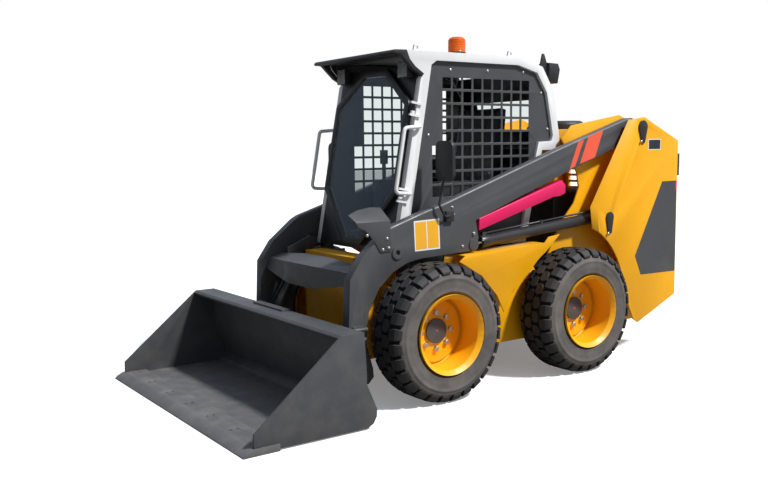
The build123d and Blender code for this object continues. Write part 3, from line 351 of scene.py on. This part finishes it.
red_place = node_in(red_tree, "ShaderNodeTexCoord").outputs["Object"]
red_cells = node_in(red_tree, "ShaderNodeTexVoronoi", {"Vector": red_place, "Scale": 120.0})
bumped(red_lens, red_cells.outputs["Distance"], 0.001)

# %% [markdown]
# The frame's plates are exact but razor sharp, and real plates never are: cut, folded and
# painted edges are a few millimetres round, and that is where they catch the light. So each
# plate is copied, its triangles are welded and merged back into flat faces, and a bevel rounds
# every edge that turns enough. The copy then stands for the frame's own node.

# %% Softened copies of the frame's nodes
def keep_piece(piece, body, slot, *stands_for):
    """Rides a finished piece on its body and hides the nodes it stands for; its slot is not used."""
    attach(piece, body)
    if stands_for:
        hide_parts(*stands_for)
    return piece


def new_piece(name, mesh, *finishes):
    """An object at the origin around a mesh, with its finishes."""
    piece = bpy.data.objects.new(name, mesh)
    bpy.context.scene.collection.objects.link(piece)
    for finish in finishes:
        mesh.materials.append(finish)
    return piece


def settle(piece):
    """Turns a piece's live modifiers into a plain mesh."""
    bpy.context.view_layer.update()
    evaluated = piece.evaluated_get(bpy.context.evaluated_depsgraph_get())
    mesh = bpy.data.meshes.new_from_object(evaluated)
    mesh.name = piece.name
    piece.modifiers.clear()
    piece.data = mesh
    return piece


def rounded(mesh, angle=32):
    """Shades a mesh smooth except over its sharp edges."""
    mesh.shade_smooth()
    mesh.set_sharp_from_angle(angle=math.radians(angle))


def softened(node, finish, edge=0.003, steps=2, angle=34):
    """A welded copy of a node with rounded edges, standing for it."""
    mesh = bpy.data.meshes.new(node + "_softened")
    welded = bmesh.new()
    welded.from_mesh(nodes[node].data)
    bmesh.ops.remove_doubles(welded, verts=welded.verts, dist=0.00002)
    bmesh.ops.dissolve_limit(welded, angle_limit=math.radians(1.0), verts=welded.verts, edges=welded.edges)
    welded.to_mesh(mesh)
    welded.free()
    piece = new_piece(node + "_softened", mesh, finish)
    if edge:
        bevel = piece.modifiers.new("edge", "BEVEL")
        bevel.width, bevel.segments = edge, steps
        bevel.limit_method, bevel.angle_limit = "ANGLE", math.radians(angle)
        bevel.use_clamp_overlap = True
        settle(piece)
    rounded(piece.data)
    return keep_piece(piece, carrier[node], finish_slot[node], node)


def faces_inward(centre, facing):
    """Whether a face on one of the machine's sides looks toward its middle."""
    return facing.x * centre.x < -0.2


def repaint(piece, finish, where):
    """Gives the faces that pass a test, by centre and normal, another finish."""
    piece.data.materials.append(finish)
    index = len(piece.data.materials) - 1
    for face in piece.data.polygons:
        if where(face.center, face.normal):
            face.material_index = index


INNER_X, CEILING_Z = 0.395, 1.8      # the cab's inner side faces and ceiling
FLOOR_Z = 0.12                       # the bucket's floor lies below this
BULKHEAD_X = -0.09                   # the front wall is dark to the right of this
LAMP_FRONT_Y, LAMP_REAR_Y = -0.41, 0.74
BEACON_SEAT_Z = 1.962
for name, _ in SIDES:
    softened(f"arm_{name}", grey_paint, 0.004, 3)
    softened(f"tower_{name}", orange_paint, 0.003)
    softened(f"side_skirt_{name}", orange_paint, 0.0025)
softened("cross_member", grey_paint, 0.006, 3)
softened("hose_guards", grey_paint, 0.002)
softened("lift_strut", strut_paint, 0.003)
softened("engine_hood", orange_paint, 0.008, 3)
softened("tailgate", orange_paint, 0.003)
softened("main_frame", orange_paint, 0.004)
front_wall = softened("front_wall", orange_paint, 0.003)
# The front wall's right-hand part is painted black: painted shade on the wall.
repaint(front_wall, black_paint, lambda centre, facing: centre.x < BULKHEAD_X)
cab = softened("cab_frame", white_paint, 0.006, 3)
# The cab frame's inward faces and its ceiling are painted black: painted shade inside the cab.
repaint(cab, black_paint, lambda centre, facing: faces_inward(centre, facing) and abs(centre.x) < INNER_X
        or facing.z < -0.5 and centre.z > CEILING_Z and abs(centre.x) < INNER_X - 0.005)
softened("cab_front", black_paint, 0.002)
softened("door_frame", black_paint, 0.003)
softened("cab_rear", black_paint, 0.002)
softened("cab_floor", black_paint, 0.002)
softened("visor", black_plastic, 0.003)
bucket = softened("bucket_shell", bucket_paint, 0.0035, 3)
repaint(bucket, worn_paint, lambda centre, facing: facing.z > 0.8 and centre.z < FLOOR_Z)
edge_plate = softened("cutting_edge", worn_paint, 0.0015)
# The edge plate's downward faces are painted black: painted shade under the lip.
repaint(edge_plate, black_paint, lambda centre, facing: facing.z < -0.3)
softened("coupler", grey_paint, 0.003)
softened("tow_lug", orange_paint, 0.003)
softened("cab_mounts", black_paint, 0.003)
softened("axle_housings", black_paint, 0.002)
softened("seat_base", black_paint, 0.003)
softened("consoles", black_plastic, 0.008, 3)
softened("engine_block", cast_iron, 0.01)
softened("pivot_pins", black_paint, 0.0015)
softened("intake_dome", black_plastic, 0)
softened("handles", white_paint, 0)
mirrors = softened("mirrors", black_plastic, 0.004)
for kind in ("lift", "tilt"):
    for name, _ in SIDES:
        softened(f"{kind}_barrel_{name}", black_paint, 0.0015)
        softened(f"{kind}_rod_{name}", chrome, 0)

# %% [markdown]
# Some pieces have more than one finish. A test on each face's centre and normal picks the faces
# that get another one: lenses, the beacon's foot, the mirrors' glass, the wheels' caps and nuts.

# %% Panes, which keep their own mesh
for node in ("door_glass", "rear_glass"):
    nodes[node].data.materials.clear()
    nodes[node].data.materials.append(tinted_glass)

# %% Lamps, beacon and mirrors
beacon = softened("beacon", amber_lens, 0.002)
repaint(beacon, black_plastic, lambda centre, facing: centre.z < BEACON_SEAT_Z)
tail_lamps = softened("tail_lamps", red_lens, 0.002)
repaint(tail_lamps, black_plastic, lambda centre, facing: facing.y < 0.6)
work_lamps = softened("work_lamps", black_plastic, 0.004, 2)
repaint(work_lamps, clear_lens, lambda centre, facing: facing.y < -0.8 and centre.y < LAMP_FRONT_Y
        or facing.y > 0.8 and centre.y > LAMP_REAR_Y)
mirror_glass = plain_finish("mirror_glass", (0.55, 0.57, 0.6), 0.03, Metallic=1.0)
repaint(mirrors, mirror_glass, lambda centre, facing: facing.y > 0.9 and abs(centre.x) > 0.5)

# %% Wheel centres: grey caps, zinc nuts and painted shade on the dish's step
DISH_INSET = 0.024       # from the tyre's middle in to the dish
PROUD = 0.0005           # what stands this far off the dish isn't the dish
SHADED_STEP_R, NUT_R, CAP_R = (0.165, 0.190), (0.084, 0.122), 0.0715


def out_from(hub, spot):
    """How far a spot is from a wheel's axle."""
    return math.hypot(spot.y - hub.y, spot.z - hub.z)


for end in ("front", "rear"):
    for name, _ in SIDES:
        low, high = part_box(f"rim_{end}_{name}")
        hub = (low + high) / 2
        wheel_middle = sum(box.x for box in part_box(f"tyre_{end}_{name}")) / 2
        dish_x = abs(wheel_middle) - DISH_INSET
        rim = softened(f"rim_{end}_{name}", orange_paint, 0.0012)
        # The step's walls in the dish are painted black: painted shade in the recess.
        repaint(rim, black_paint, lambda centre, facing: SHADED_STEP_R[0] < out_from(hub, centre) < SHADED_STEP_R[1]
                and abs(facing.x) < 0.5)
        repaint(rim, zinc, lambda centre, facing: NUT_R[0] < out_from(hub, centre) < NUT_R[1]
                and abs(centre.x) > dish_x + PROUD)
        repaint(rim, grey_paint, lambda centre, facing: out_from(hub, centre) < CAP_R
                and abs(centre.x) > dish_x + PROUD)

# %% Guard sheets beside the cab
for name, _ in SIDES:
    guard = softened(f"mesh_panel_{name}", grey_paint, 0.0012, 1)
    # The sheets' inward faces are painted black: painted shade inside the cab.
    repaint(guard, black_paint, faces_inward)

# %% [markdown]
# The seat is stuffed vinyl. Each cushion starts as a slightly smaller copy of its solid, is
# remeshed evenly, and is blown up as cloth; no point may move further than a cap. The sewn
# channels are pressed in afterwards, because remeshing would have lost them.

# %% Padded cushions
SLACK = 0.02             # how much smaller the start shape is on every side
VOXEL = 0.016
PRESSURE = 4
FRAMES = 20
CAP = 0.022              # how far a point may be blown
CHANNEL_HALF = 0.006     # half the width of a sewn channel
CHANNELS = (0.22, 0.5, 0.78)


def cushion(node, sunk=0.007):
    """A stuffed piece, sewn in channels across its width, that stands for a seat's solid."""
    low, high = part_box(node)
    middle = (low + high) / 2
    piece = new_piece(node + "_stuffed", nodes[node].data.copy())
    piece.data.materials.clear()
    piece.data.materials.append(seat_vinyl)
    for vertex in piece.data.vertices:
        for axis in range(3):
            share = 1 - 2 * SLACK / (high[axis] - low[axis])
            vertex.co[axis] = middle[axis] + (vertex.co[axis] - middle[axis]) * share
    even = piece.modifiers.new("even", "REMESH")
    even.mode, even.voxel_size = "VOXEL", VOXEL
    settle(piece)
    start = [vertex.co.copy() for vertex in piece.data.vertices]
    blown = piece.modifiers.new("blown", "CLOTH")
    blown.settings.use_pressure = True
    blown.settings.uniform_pressure_force = PRESSURE
    blown.settings.effector_weights.gravity = 0
    for step in range(1, FRAMES + 1):
        bpy.context.scene.frame_set(step)
    settle(piece)
    bpy.context.scene.frame_set(1)
    for vertex, first in zip(piece.data.vertices, start):
        moved = vertex.co - first
        if moved.length > CAP:
            vertex.co = first + moved * (CAP / moved.length)
    finer = piece.modifiers.new("finer", "SUBSURF")
    finer.levels = finer.render_levels = 1
    settle(piece)
    width = high.x - low.x
    for vertex in piece.data.vertices:
        for channel in CHANNELS:
            away = (vertex.co.x - low.x - channel * width) / CHANNEL_HALF
            vertex.co -= vertex.normal * sunk * math.exp(-away * away)
    piece.data.shade_smooth()
    keep_piece(piece, carrier[node], finish_slot[node], node)


cushion("seat_cushion")
cushion("seat_back")
print("cushions are stuffed")

# %% [markdown]
# A table of points places the small hardware. Geometry Nodes puts one fastener on each point
# and turns it to face along the point's own direction, so a whole body's bolts are one short
# table and one mesh.

# %% A tree that sets fasteners on points
def tree_with(name, *inputs):
    """A geometry tree with named inputs, its input node and its output node."""
    tree = bpy.data.node_groups.new(name, "GeometryNodeTree")
    tree.interface.new_socket("Geometry", in_out="INPUT", socket_type="NodeSocketGeometry")
    for label, kind in inputs:
        tree.interface.new_socket(label, in_out="INPUT", socket_type="NodeSocket" + kind)
    tree.interface.new_socket("Geometry", in_out="OUTPUT", socket_type="NodeSocketGeometry")
    return tree, tree.nodes.new("NodeGroupInput"), tree.nodes.new("NodeGroupOutput")


def finish_tree(tree, given, instances, result):
    """Ends a tree: instances are made real and take the finish that was handed in."""
    real = node_in(tree, "GeometryNodeRealizeInstances", {"Geometry": instances})
    dressed = node_in(tree, "GeometryNodeSetMaterial",
                      {"Geometry": real.outputs[0], "Material": given.outputs["Finish"]})
    wire(tree, dressed.outputs[0], result.inputs[0])


def run_tree(piece, tree, **values):
    """Runs a tree on a piece with its inputs filled in by name, and keeps the plain result."""
    modifier = piece.modifiers.new("tree", "NODES")
    modifier.node_group = tree
    for item in tree.interface.items_tree:
        if item.in_out == "INPUT" and item.name.replace(" ", "_") in values:
            modifier[item.identifier] = values[item.name.replace(" ", "_")]
    return settle(piece)


on_points, given, result = tree_with("hardware_on_points", ("Hardware", "Object"), ("Finish", "Material"))
hardware = node_in(on_points, "GeometryNodeObjectInfo",
                   {"Object": given.outputs["Hardware"], "As Instance": True})
facing = node_in(on_points, "GeometryNodeInputNamedAttribute", {"Name": "facing"}, data_type="FLOAT_VECTOR")
size = node_in(on_points, "GeometryNodeInputNamedAttribute", {"Name": "size"}, data_type="FLOAT")
aimed = node_in(on_points, "FunctionNodeAlignRotationToVector", {"Vector": facing.outputs[0]}, axis="Z")
points = node_in(on_points, "GeometryNodeMeshToPoints", {"Mesh": given.outputs["Geometry"]})
placed = node_in(on_points, "GeometryNodeInstanceOnPoints", {
    "Points": points.outputs[0], "Instance": hardware.outputs["Geometry"],
    "Rotation": aimed.outputs[0], "Scale": size.outputs[0]})
finish_tree(on_points, given, placed.outputs[0], result)


def mesh_of(name, made):
    """Writes a bmesh to a named mesh and frees it."""
    mesh = bpy.data.meshes.new(name)
    made.to_mesh(mesh)
    made.free()
    return mesh


def stacked_discs(name, levels, sides):
    """A little turned or hexagonal form: a stack of rings given as (radius, height)."""
    made = bmesh.new()
    loops = []
    for radius, height in levels:
        loops.append([made.verts.new((radius * math.cos(math.tau * step / sides),
                                      radius * math.sin(math.tau * step / sides), height))
                      for step in range(sides)])
    for lower, upper in zip(loops, loops[1:]):
        for step in range(sides):
            made.faces.new((lower[step], lower[(step + 1) % sides], upper[(step + 1) % sides], upper[step]))
    made.faces.new(loops[-1])
    made.faces.new(list(reversed(loops[0])))
    return mesh_of(name, made)


def template(name, mesh):
    """A hidden object that Geometry Nodes copy from."""
    return bpy.data.objects.new(name, mesh)


hex_bolt = template("hex_bolt", stacked_discs(
    "hex_bolt", [(1.0, 0.0), (1.0, 0.12), (0.8, 0.14), (0.8, 0.62), (0.68, 0.72)], 6))
round_bolt = template("round_bolt", stacked_discs(
    "round_bolt", [(1.0, 0.0), (1.0, 0.16), (0.72, 0.2), (0.72, 0.62), (0.55, 0.74)], 12))
dome_rivet = template("dome_rivet", stacked_discs(
    "dome_rivet", [(1.0, 0.0), (0.94, 0.22), (0.72, 0.42), (0.38, 0.53)], 10))


def fasteners(name, body, slot, kind, finish, places):
    """One mesh of fasteners for a body. Each place is (x, y, z, facing x, y, z, size)."""
    mesh = bpy.data.meshes.new(name)
    mesh.from_pydata([place[:3] for place in places], [], [])
    mesh.attributes.new("facing", "FLOAT_VECTOR", "POINT")
    mesh.attributes.new("size", "FLOAT", "POINT")
    for index, place in enumerate(places):
        mesh.attributes["facing"].data[index].vector = place[3:6]
        mesh.attributes["size"].data[index].value = place[6]
    piece = new_piece(name, mesh)
    run_tree(piece, on_points, Hardware=kind, Finish=finish)
    rounded(piece.data, 40)
    return keep_piece(piece, body, slot)


# %% [markdown]
# The machine stands on tyres with deep interlocked blocks. The carcass is one profile turned
# round the axle, with the moulded rings of a real sidewall. Each row of blocks is a single
# block, drawn flat and laid on the crown of the tyre, and a tree turns it round the axle.

# %% A tree that turns copies round an axle
turned, given, result = tree_with(
    "turned_copies", ("Pattern", "Object"), ("Copies", "Int"), ("Start", "Float"), ("Centre", "Vector"),
    ("Finish", "Material"))
row = node_in(turned, "GeometryNodeMeshLine", {"Count": given.outputs["Copies"], "Offset": (0, 0, 0)})
pattern = node_in(turned, "GeometryNodeObjectInfo",
                  {"Object": given.outputs["Pattern"], "As Instance": True})
copies = node_in(turned, "GeometryNodeInstanceOnPoints",
                 {"Points": row.outputs[0], "Instance": pattern.outputs["Geometry"]})
index = node_in(turned, "GeometryNodeInputIndex")
full_turn = node_in(turned, "ShaderNodeMath", {0: math.tau, 1: given.outputs["Copies"]}, operation="DIVIDE")
share = node_in(turned, "ShaderNodeMath", {0: index.outputs[0], 1: full_turn.outputs[0]},
                operation="MULTIPLY")
angle = node_in(turned, "ShaderNodeMath", {0: share.outputs[0], 1: given.outputs["Start"]}, operation="ADD")
about_x = node_in(turned, "ShaderNodeCombineXYZ", {"X": angle.outputs[0]})
spun = node_in(turned, "GeometryNodeRotateInstances", {
    "Instances": copies.outputs[0], "Rotation": about_x.outputs[0],
    "Pivot Point": given.outputs["Centre"], "Local Space": False})
finish_tree(turned, given, spun.outputs[0], result)

# %% The tyre's carcass
tyre_low, tyre_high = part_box("tyre_front_left")
tyre_r = (tyre_high[2] - tyre_low[2]) / 2
BLOCKS = 28
BLOCK_DEPTH = 0.019
CROWN_DEPTH = 0.045      # how far in from the tread the groove's rubber reaches
AROUND = 96
groove_r = tyre_r - BLOCK_DEPTH
half_section = [  # across the tyre from its middle, and out from the axle
    (0.0, groove_r + 0.001), (0.060, groove_r), (0.096, groove_r - 0.007), (0.113, groove_r - 0.022),
    (0.1215, groove_r - 0.038), (0.1225, 0.318), (0.1275, 0.313), (0.1285, 0.306), (0.1262, 0.301),
    (0.1268, 0.285), (0.1262, 0.262), (0.1235, 0.247), (0.1245, 0.243), (0.1240, 0.238), (0.1190, 0.234),
    (0.1140, 0.2285), (0.106, 0.2245), (0.101, 0.209),
]


def turned_ring(name, section, centre, steps):
    """A closed ring: a section of (across, out) points turned round an axle along X."""
    made = bmesh.new()
    loops = []
    for step in range(steps):
        lean = math.tau * step / steps
        loops.append([made.verts.new((centre[0] + across, centre[1] + out * math.sin(lean),
                                      centre[2] + out * math.cos(lean))) for across, out in section])
    count = len(section)
    for step in range(steps):
        here, there = loops[step], loops[(step + 1) % steps]
        for spot in range(count):
            after = (spot + 1) % count
            made.faces.new((here[spot], here[after], there[after], there[spot]))
    bmesh.ops.recalc_face_normals(made, faces=made.faces)
    return mesh_of(name, made)


full_section = [(-across, out) for across, out in reversed(half_section)] + half_section[1:]

# %% The tread's blocks
# Each block is drawn flat as (across, along) in metres, one pitch long, and then laid on the
# crown: its top corners go to the tread and its foot a little into the carcass.
PITCH = math.tau * tyre_r / BLOCKS
crown = [(0.0, 0.0), (0.07, -0.0015), (0.100, -0.008), (0.118, -0.024), (0.1275, -0.043), (0.1300, -0.062)]


def crown_at(across):
    """How far below the tread's middle its surface is, that far across."""
    for (a0, d0), (a1, d1) in zip(crown, crown[1:]):
        if across <= a1:
            return d0 + (d1 - d0) * (across - a0) / (a1 - a0)
    return crown[-1][1]


middle_block = [(0.0045, -0.31), (0.028, -0.44), (0.055, -0.32), (0.059, 0.04), (0.045, 0.34), (0.022, 0.40),
                (0.0045, 0.33)]


def block_mesh(name, outline, mirror, centre, depth=BLOCK_DEPTH + 0.004, taper=0.0022, cut=0.0016):
    """A tread block at the top of a tyre, its upper edge chamfered and its walls sloping out."""
    middle_a = sum(point[0] for point in outline) / len(outline)
    middle_v = sum(point[1] for point in outline) / len(outline) * PITCH
    made = bmesh.new()

    def ring(grow, drop):
        """One loop of the block, moved out from its middle and down from the tread."""
        loop = []
        for across, share in outline:
            along = share * PITCH
            away = Vector((across - middle_a, along - middle_v))
            spot = Vector((across, along)) + away.normalized() * grow
            reach = tyre_r + crown_at(spot.x) - drop
            lean = spot.y / tyre_r
            loop.append(made.verts.new((centre[0] + mirror * spot.x, centre[1] + reach * math.sin(lean),
                                        centre[2] + reach * math.cos(lean))))
        return loop

    loops = [ring(taper, depth), ring(0.0, cut), ring(-cut * 0.8, 0.0)]
    for lower, upper in zip(loops, loops[1:]):
        for step in range(len(outline)):
            after = (step + 1) % len(outline)
            made.faces.new((lower[step], lower[after], upper[after], upper[step]))
    made.faces.new(loops[-1])
    made.faces.new(list(reversed(loops[0])))
    bmesh.ops.recalc_face_normals(made, faces=made.faces)
    return mesh_of(name, made)


LUG_LEAN = 0.05                          # how far a shoulder block slants, in pitches
LUG_START, LUG_REACH = 0.062, 0.067      # where the slant starts and how wide it is
LUG_CHAMFER_DROP, LUG_CHAMFER_SIDE = 0.003, 0.0012
LUG_SKIN = 0.004                         # how thick a block is where it hugs the carcass
LUG_TUCK = 0.012                         # how far its foot goes in under the sidewall


def lug_mesh(name, mirror, centre):
    """A shoulder block, which folds over the tyre's shoulder and down its side."""
    stations = [  # across, half length as a share of the pitch, height over the tread's middle
        (0.066, 0.33, -0.0005), (0.088, 0.39, -0.0045), (0.104, 0.39, -0.010), (0.117, 0.37, -0.022),
        (0.1255, 0.35, -0.036), (0.1275, 0.32, -0.046),
    ]
    made = bmesh.new()
    outer, inner = [], []
    for across, half, drop in stations:
        skew = LUG_LEAN * (across - LUG_START) / LUG_REACH
        top_row, foot_row = [], []
        for edge, inset in ((-1, 0), (-0.9, 1), (0.9, 1), (1, 0)):
            lean = (edge * half + skew) * PITCH / tyre_r
            reach = tyre_r + drop - (0.0 if inset else LUG_CHAMFER_DROP)
            outward = across - (0.0 if inset else LUG_CHAMFER_SIDE)
            top_row.append(made.verts.new((centre[0] + mirror * outward, centre[1] + reach * math.sin(lean),
                                           centre[2] + reach * math.cos(lean))))
            low_reach = min(reach, groove_r) - LUG_SKIN if across < 0.11 else reach - LUG_SKIN
            low_across = across - (0.0 if across < 0.1 else LUG_TUCK * min(1, (across - 0.1) / 0.02))
            foot_row.append(made.verts.new((centre[0] + mirror * low_across,
                                            centre[1] + low_reach * math.sin(lean),
                                            centre[2] + low_reach * math.cos(lean))))
        outer.append(top_row)
        inner.append(foot_row)
    for station in range(len(stations) - 1):
        for grid, flip in ((outer, False), (inner, True)):
            for step in range(3):
                quad = (grid[station][step], grid[station][step + 1], grid[station + 1][step + 1],
                        grid[station + 1][step])
                made.faces.new(tuple(reversed(quad)) if flip else quad)
        for step in (0, 3):
            made.faces.new((outer[station][step], outer[station + 1][step], inner[station + 1][step],
                            inner[station][step]))
    for end in (0, -1):
        for step in range(3):
            made.faces.new((outer[end][step], outer[end][step + 1], inner[end][step + 1], inner[end][step]))
    bmesh.ops.recalc_face_normals(made, faces=made.faces)
    return mesh_of(name, made)


# %% Four tyres
for end in ("front", "rear"):
    for name, _ in SIDES:
        low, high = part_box(f"tyre_{end}_{name}")
        centre = tuple((near + far) / 2 for near, far in zip(low, high))
        ring = turned_ring(f"carcass_{end}_{name}", full_section, centre, AROUND)
        carcass = new_piece(f"carcass_{end}_{name}", ring, sidewall_rubber)
        rounded(carcass.data, 40)
        repaint(carcass, groove_rubber, lambda spot, facing:
                math.hypot(spot.y - centre[1], spot.z - centre[2]) > tyre_r - CROWN_DEPTH)
        keep_piece(carcass, f"wheel_{end}_{name}", "rubber", f"tyre_{end}_{name}")
        for row_name, mesh, start in (
                ("middle_out", block_mesh("middle_out", middle_block, 1, centre), 0.0),
                ("middle_in", block_mesh("middle_in", middle_block, -1, centre), 0.5),
                ("shoulder_out", lug_mesh("shoulder_out", 1, centre), 0.5),
                ("shoulder_in", lug_mesh("shoulder_in", -1, centre), 0.0)):
            blocks = new_piece(f"tread_{row_name}_{end}_{name}", bpy.data.meshes.new(row_name))
            run_tree(blocks, turned, Pattern=template(row_name, mesh), Copies=BLOCKS,
                     Start=start * math.tau / BLOCKS, Centre=centre, Finish=tread_rubber)
            rounded(blocks.data, 14)
            keep_piece(blocks, f"wheel_{end}_{name}", "rubber")
print("tread blocks:", 4 * 4 * BLOCKS)

# %% [markdown]
# Stripes and blank plates are thin films laid on the plates. Each is an outline of (along, up)
# points on a plane that faces sideways, closed all round and a fraction of a millimetre thick.

# %% Films on the side plates
FILM = 0.0006


def film(name, body, slot, finish, side, face_x, outline, lift=0.0):
    """A thin closed film on a plate that faces sideways."""
    made = bmesh.new()
    near, far = face_x + lift - FILM, face_x + lift + FILM
    inner = [made.verts.new((side * near, along, up)) for along, up in outline]
    outer = [made.verts.new((side * far, along, up)) for along, up in outline]
    made.faces.new(inner)
    made.faces.new(list(reversed(outer)))
    for step in range(len(outline)):
        after = (step + 1) % len(outline)
        made.faces.new((inner[step], outer[step], outer[after], inner[after]))
    bmesh.ops.recalc_face_normals(made, faces=made.faces)
    return keep_piece(new_piece(name, mesh_of(name, made), finish), body, slot)


ARM_FACE, TOWER_FACE = 0.540, 0.600      # outer faces, from the machine's middle
first_stripe = [(0.798, 1.419), (0.848, 1.429), (0.770, 1.264), (0.721, 1.246)]
second_stripe = [(0.889, 1.448), (1.028, 1.492), (0.953, 1.318), (0.813, 1.278)]
tail_panel = [(1.557, 1.145), (1.713, 1.146), (1.713, 0.520), (1.352, 0.525), (1.289, 0.657)]
tail_accent = [(1.696, 1.146), (1.713, 1.146), (1.713, 1.078), (1.700, 1.078)]
for name, side in SIDES:
    film(f"stripe_first_{name}", "boom", "grey_paint", stripe_paint, side, ARM_FACE, first_stripe)
    film(f"stripe_second_{name}", "boom", "grey_paint", stripe_paint, side, ARM_FACE, second_stripe)
    film(f"tail_panel_{name}", "chassis", "body_paint", grey_paint, side, TOWER_FACE, tail_panel)
    film(f"tail_accent_{name}", "chassis", "strut_paint", strut_paint, side, TOWER_FACE,
         tail_accent, FILM)
film("plate_border_left", "chassis", "body_paint", white_film, 1, TOWER_FACE,
     [(1.403, 1.358), (1.532, 1.358), (1.532, 1.431), (1.403, 1.431)])
film("plate_blank_left", "chassis", "body_paint", black_paint, 1, TOWER_FACE,
     [(1.409, 1.364), (1.526, 1.364), (1.526, 1.425), (1.409, 1.425)], FILM)
film("blank_label", "boom", "grey_paint", white_film, 1, ARM_FACE,
     [(-0.508, 0.990), (-0.329, 0.996), (-0.322, 0.824), (-0.500, 0.821)])
film("blank_label_left_half", "boom", "grey_paint", amber_film, 1, ARM_FACE,
     [(-0.499, 0.982), (-0.423, 0.985), (-0.416, 0.832), (-0.492, 0.830)], FILM)
film("blank_label_right_half", "boom", "grey_paint", amber_film, 1, ARM_FACE,
     [(-0.415, 0.985), (-0.338, 0.988), (-0.331, 0.833), (-0.408, 0.832)], FILM)
print("films are on")

# %% [markdown]
# Bolts and the wheel caps' dots follow. Each table lists spots as (along, up) on one plate, and
# a helper adds how far out the plate is and the way it faces.

# %% Fasteners
PANEL_FACE, GUARD_FACE, STRUT_FACE, LOCK_FACE = 0.410, 0.545, 0.544, 0.6095
CAP_INSET = 0.0082       # from the tyre's middle in to the wheel cap
DOT_R = 0.007


def sideways(side, face_x, size, spots):
    """Rows of the fasteners' table for spots (along, up) on a plate that faces sideways."""
    return [(side * face_x, along, up, side, 0, 0, size) for along, up in spots]


panel_spots = [(-0.135, 1.838), (0.150, 1.842), (0.439, 1.845), (0.594, 1.723), (0.653, 1.500),
               (0.564, 1.352), (-0.300, 1.465)]
guard_spots = [(-0.821, 0.932), (-0.691, 0.907), (-0.720, 0.848), (-0.681, 0.855)]
for name, side in SIDES:
    fasteners(f"panel_bolts_{name}", "chassis", "chrome", round_bolt, zinc,
              sideways(side, PANEL_FACE, 0.009, panel_spots))
fasteners("guard_bolts", "boom", "chrome", round_bolt, zinc,
          sideways(1, GUARD_FACE, 0.009, guard_spots))
fasteners("strut_bolts", "boom", "chrome", hex_bolt, zinc,
          sideways(1, STRUT_FACE, 0.011, [(-0.074, 0.894)]))
lock_spots = [(1.321, 1.415), (1.011, 0.826)]
arm_spots = [(-0.156, 0.825), (-0.232, 1.055), (-0.223, 1.015)]
for name, side in SIDES:
    fasteners(f"lock_bolts_{name}", "chassis", "chrome", hex_bolt, zinc,
              sideways(side, LOCK_FACE, 0.010, lock_spots))

# %% Dots on the wheel caps
for name, side in SIDES:
    for end in ("front", "rear"):
        near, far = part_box(f"tyre_{end}_{name}")
        hub = (near + far) / 2
        fasteners(f"hub_dot_{end}_{name}", f"wheel_{end}_{name}", "strut_paint", dome_rivet, strut_paint,
                  [(hub.x - side * CAP_INSET, hub.y, hub.z, side, 0, 0, DOT_R)])

# %% Bolts on the arms
fasteners("arm_bolts", "boom", "chrome", hex_bolt, zinc,
          sideways(1, ARM_FACE, 0.009, arm_spots) + sideways(-1, ARM_FACE, 0.009, arm_spots))
print("fasteners are on")
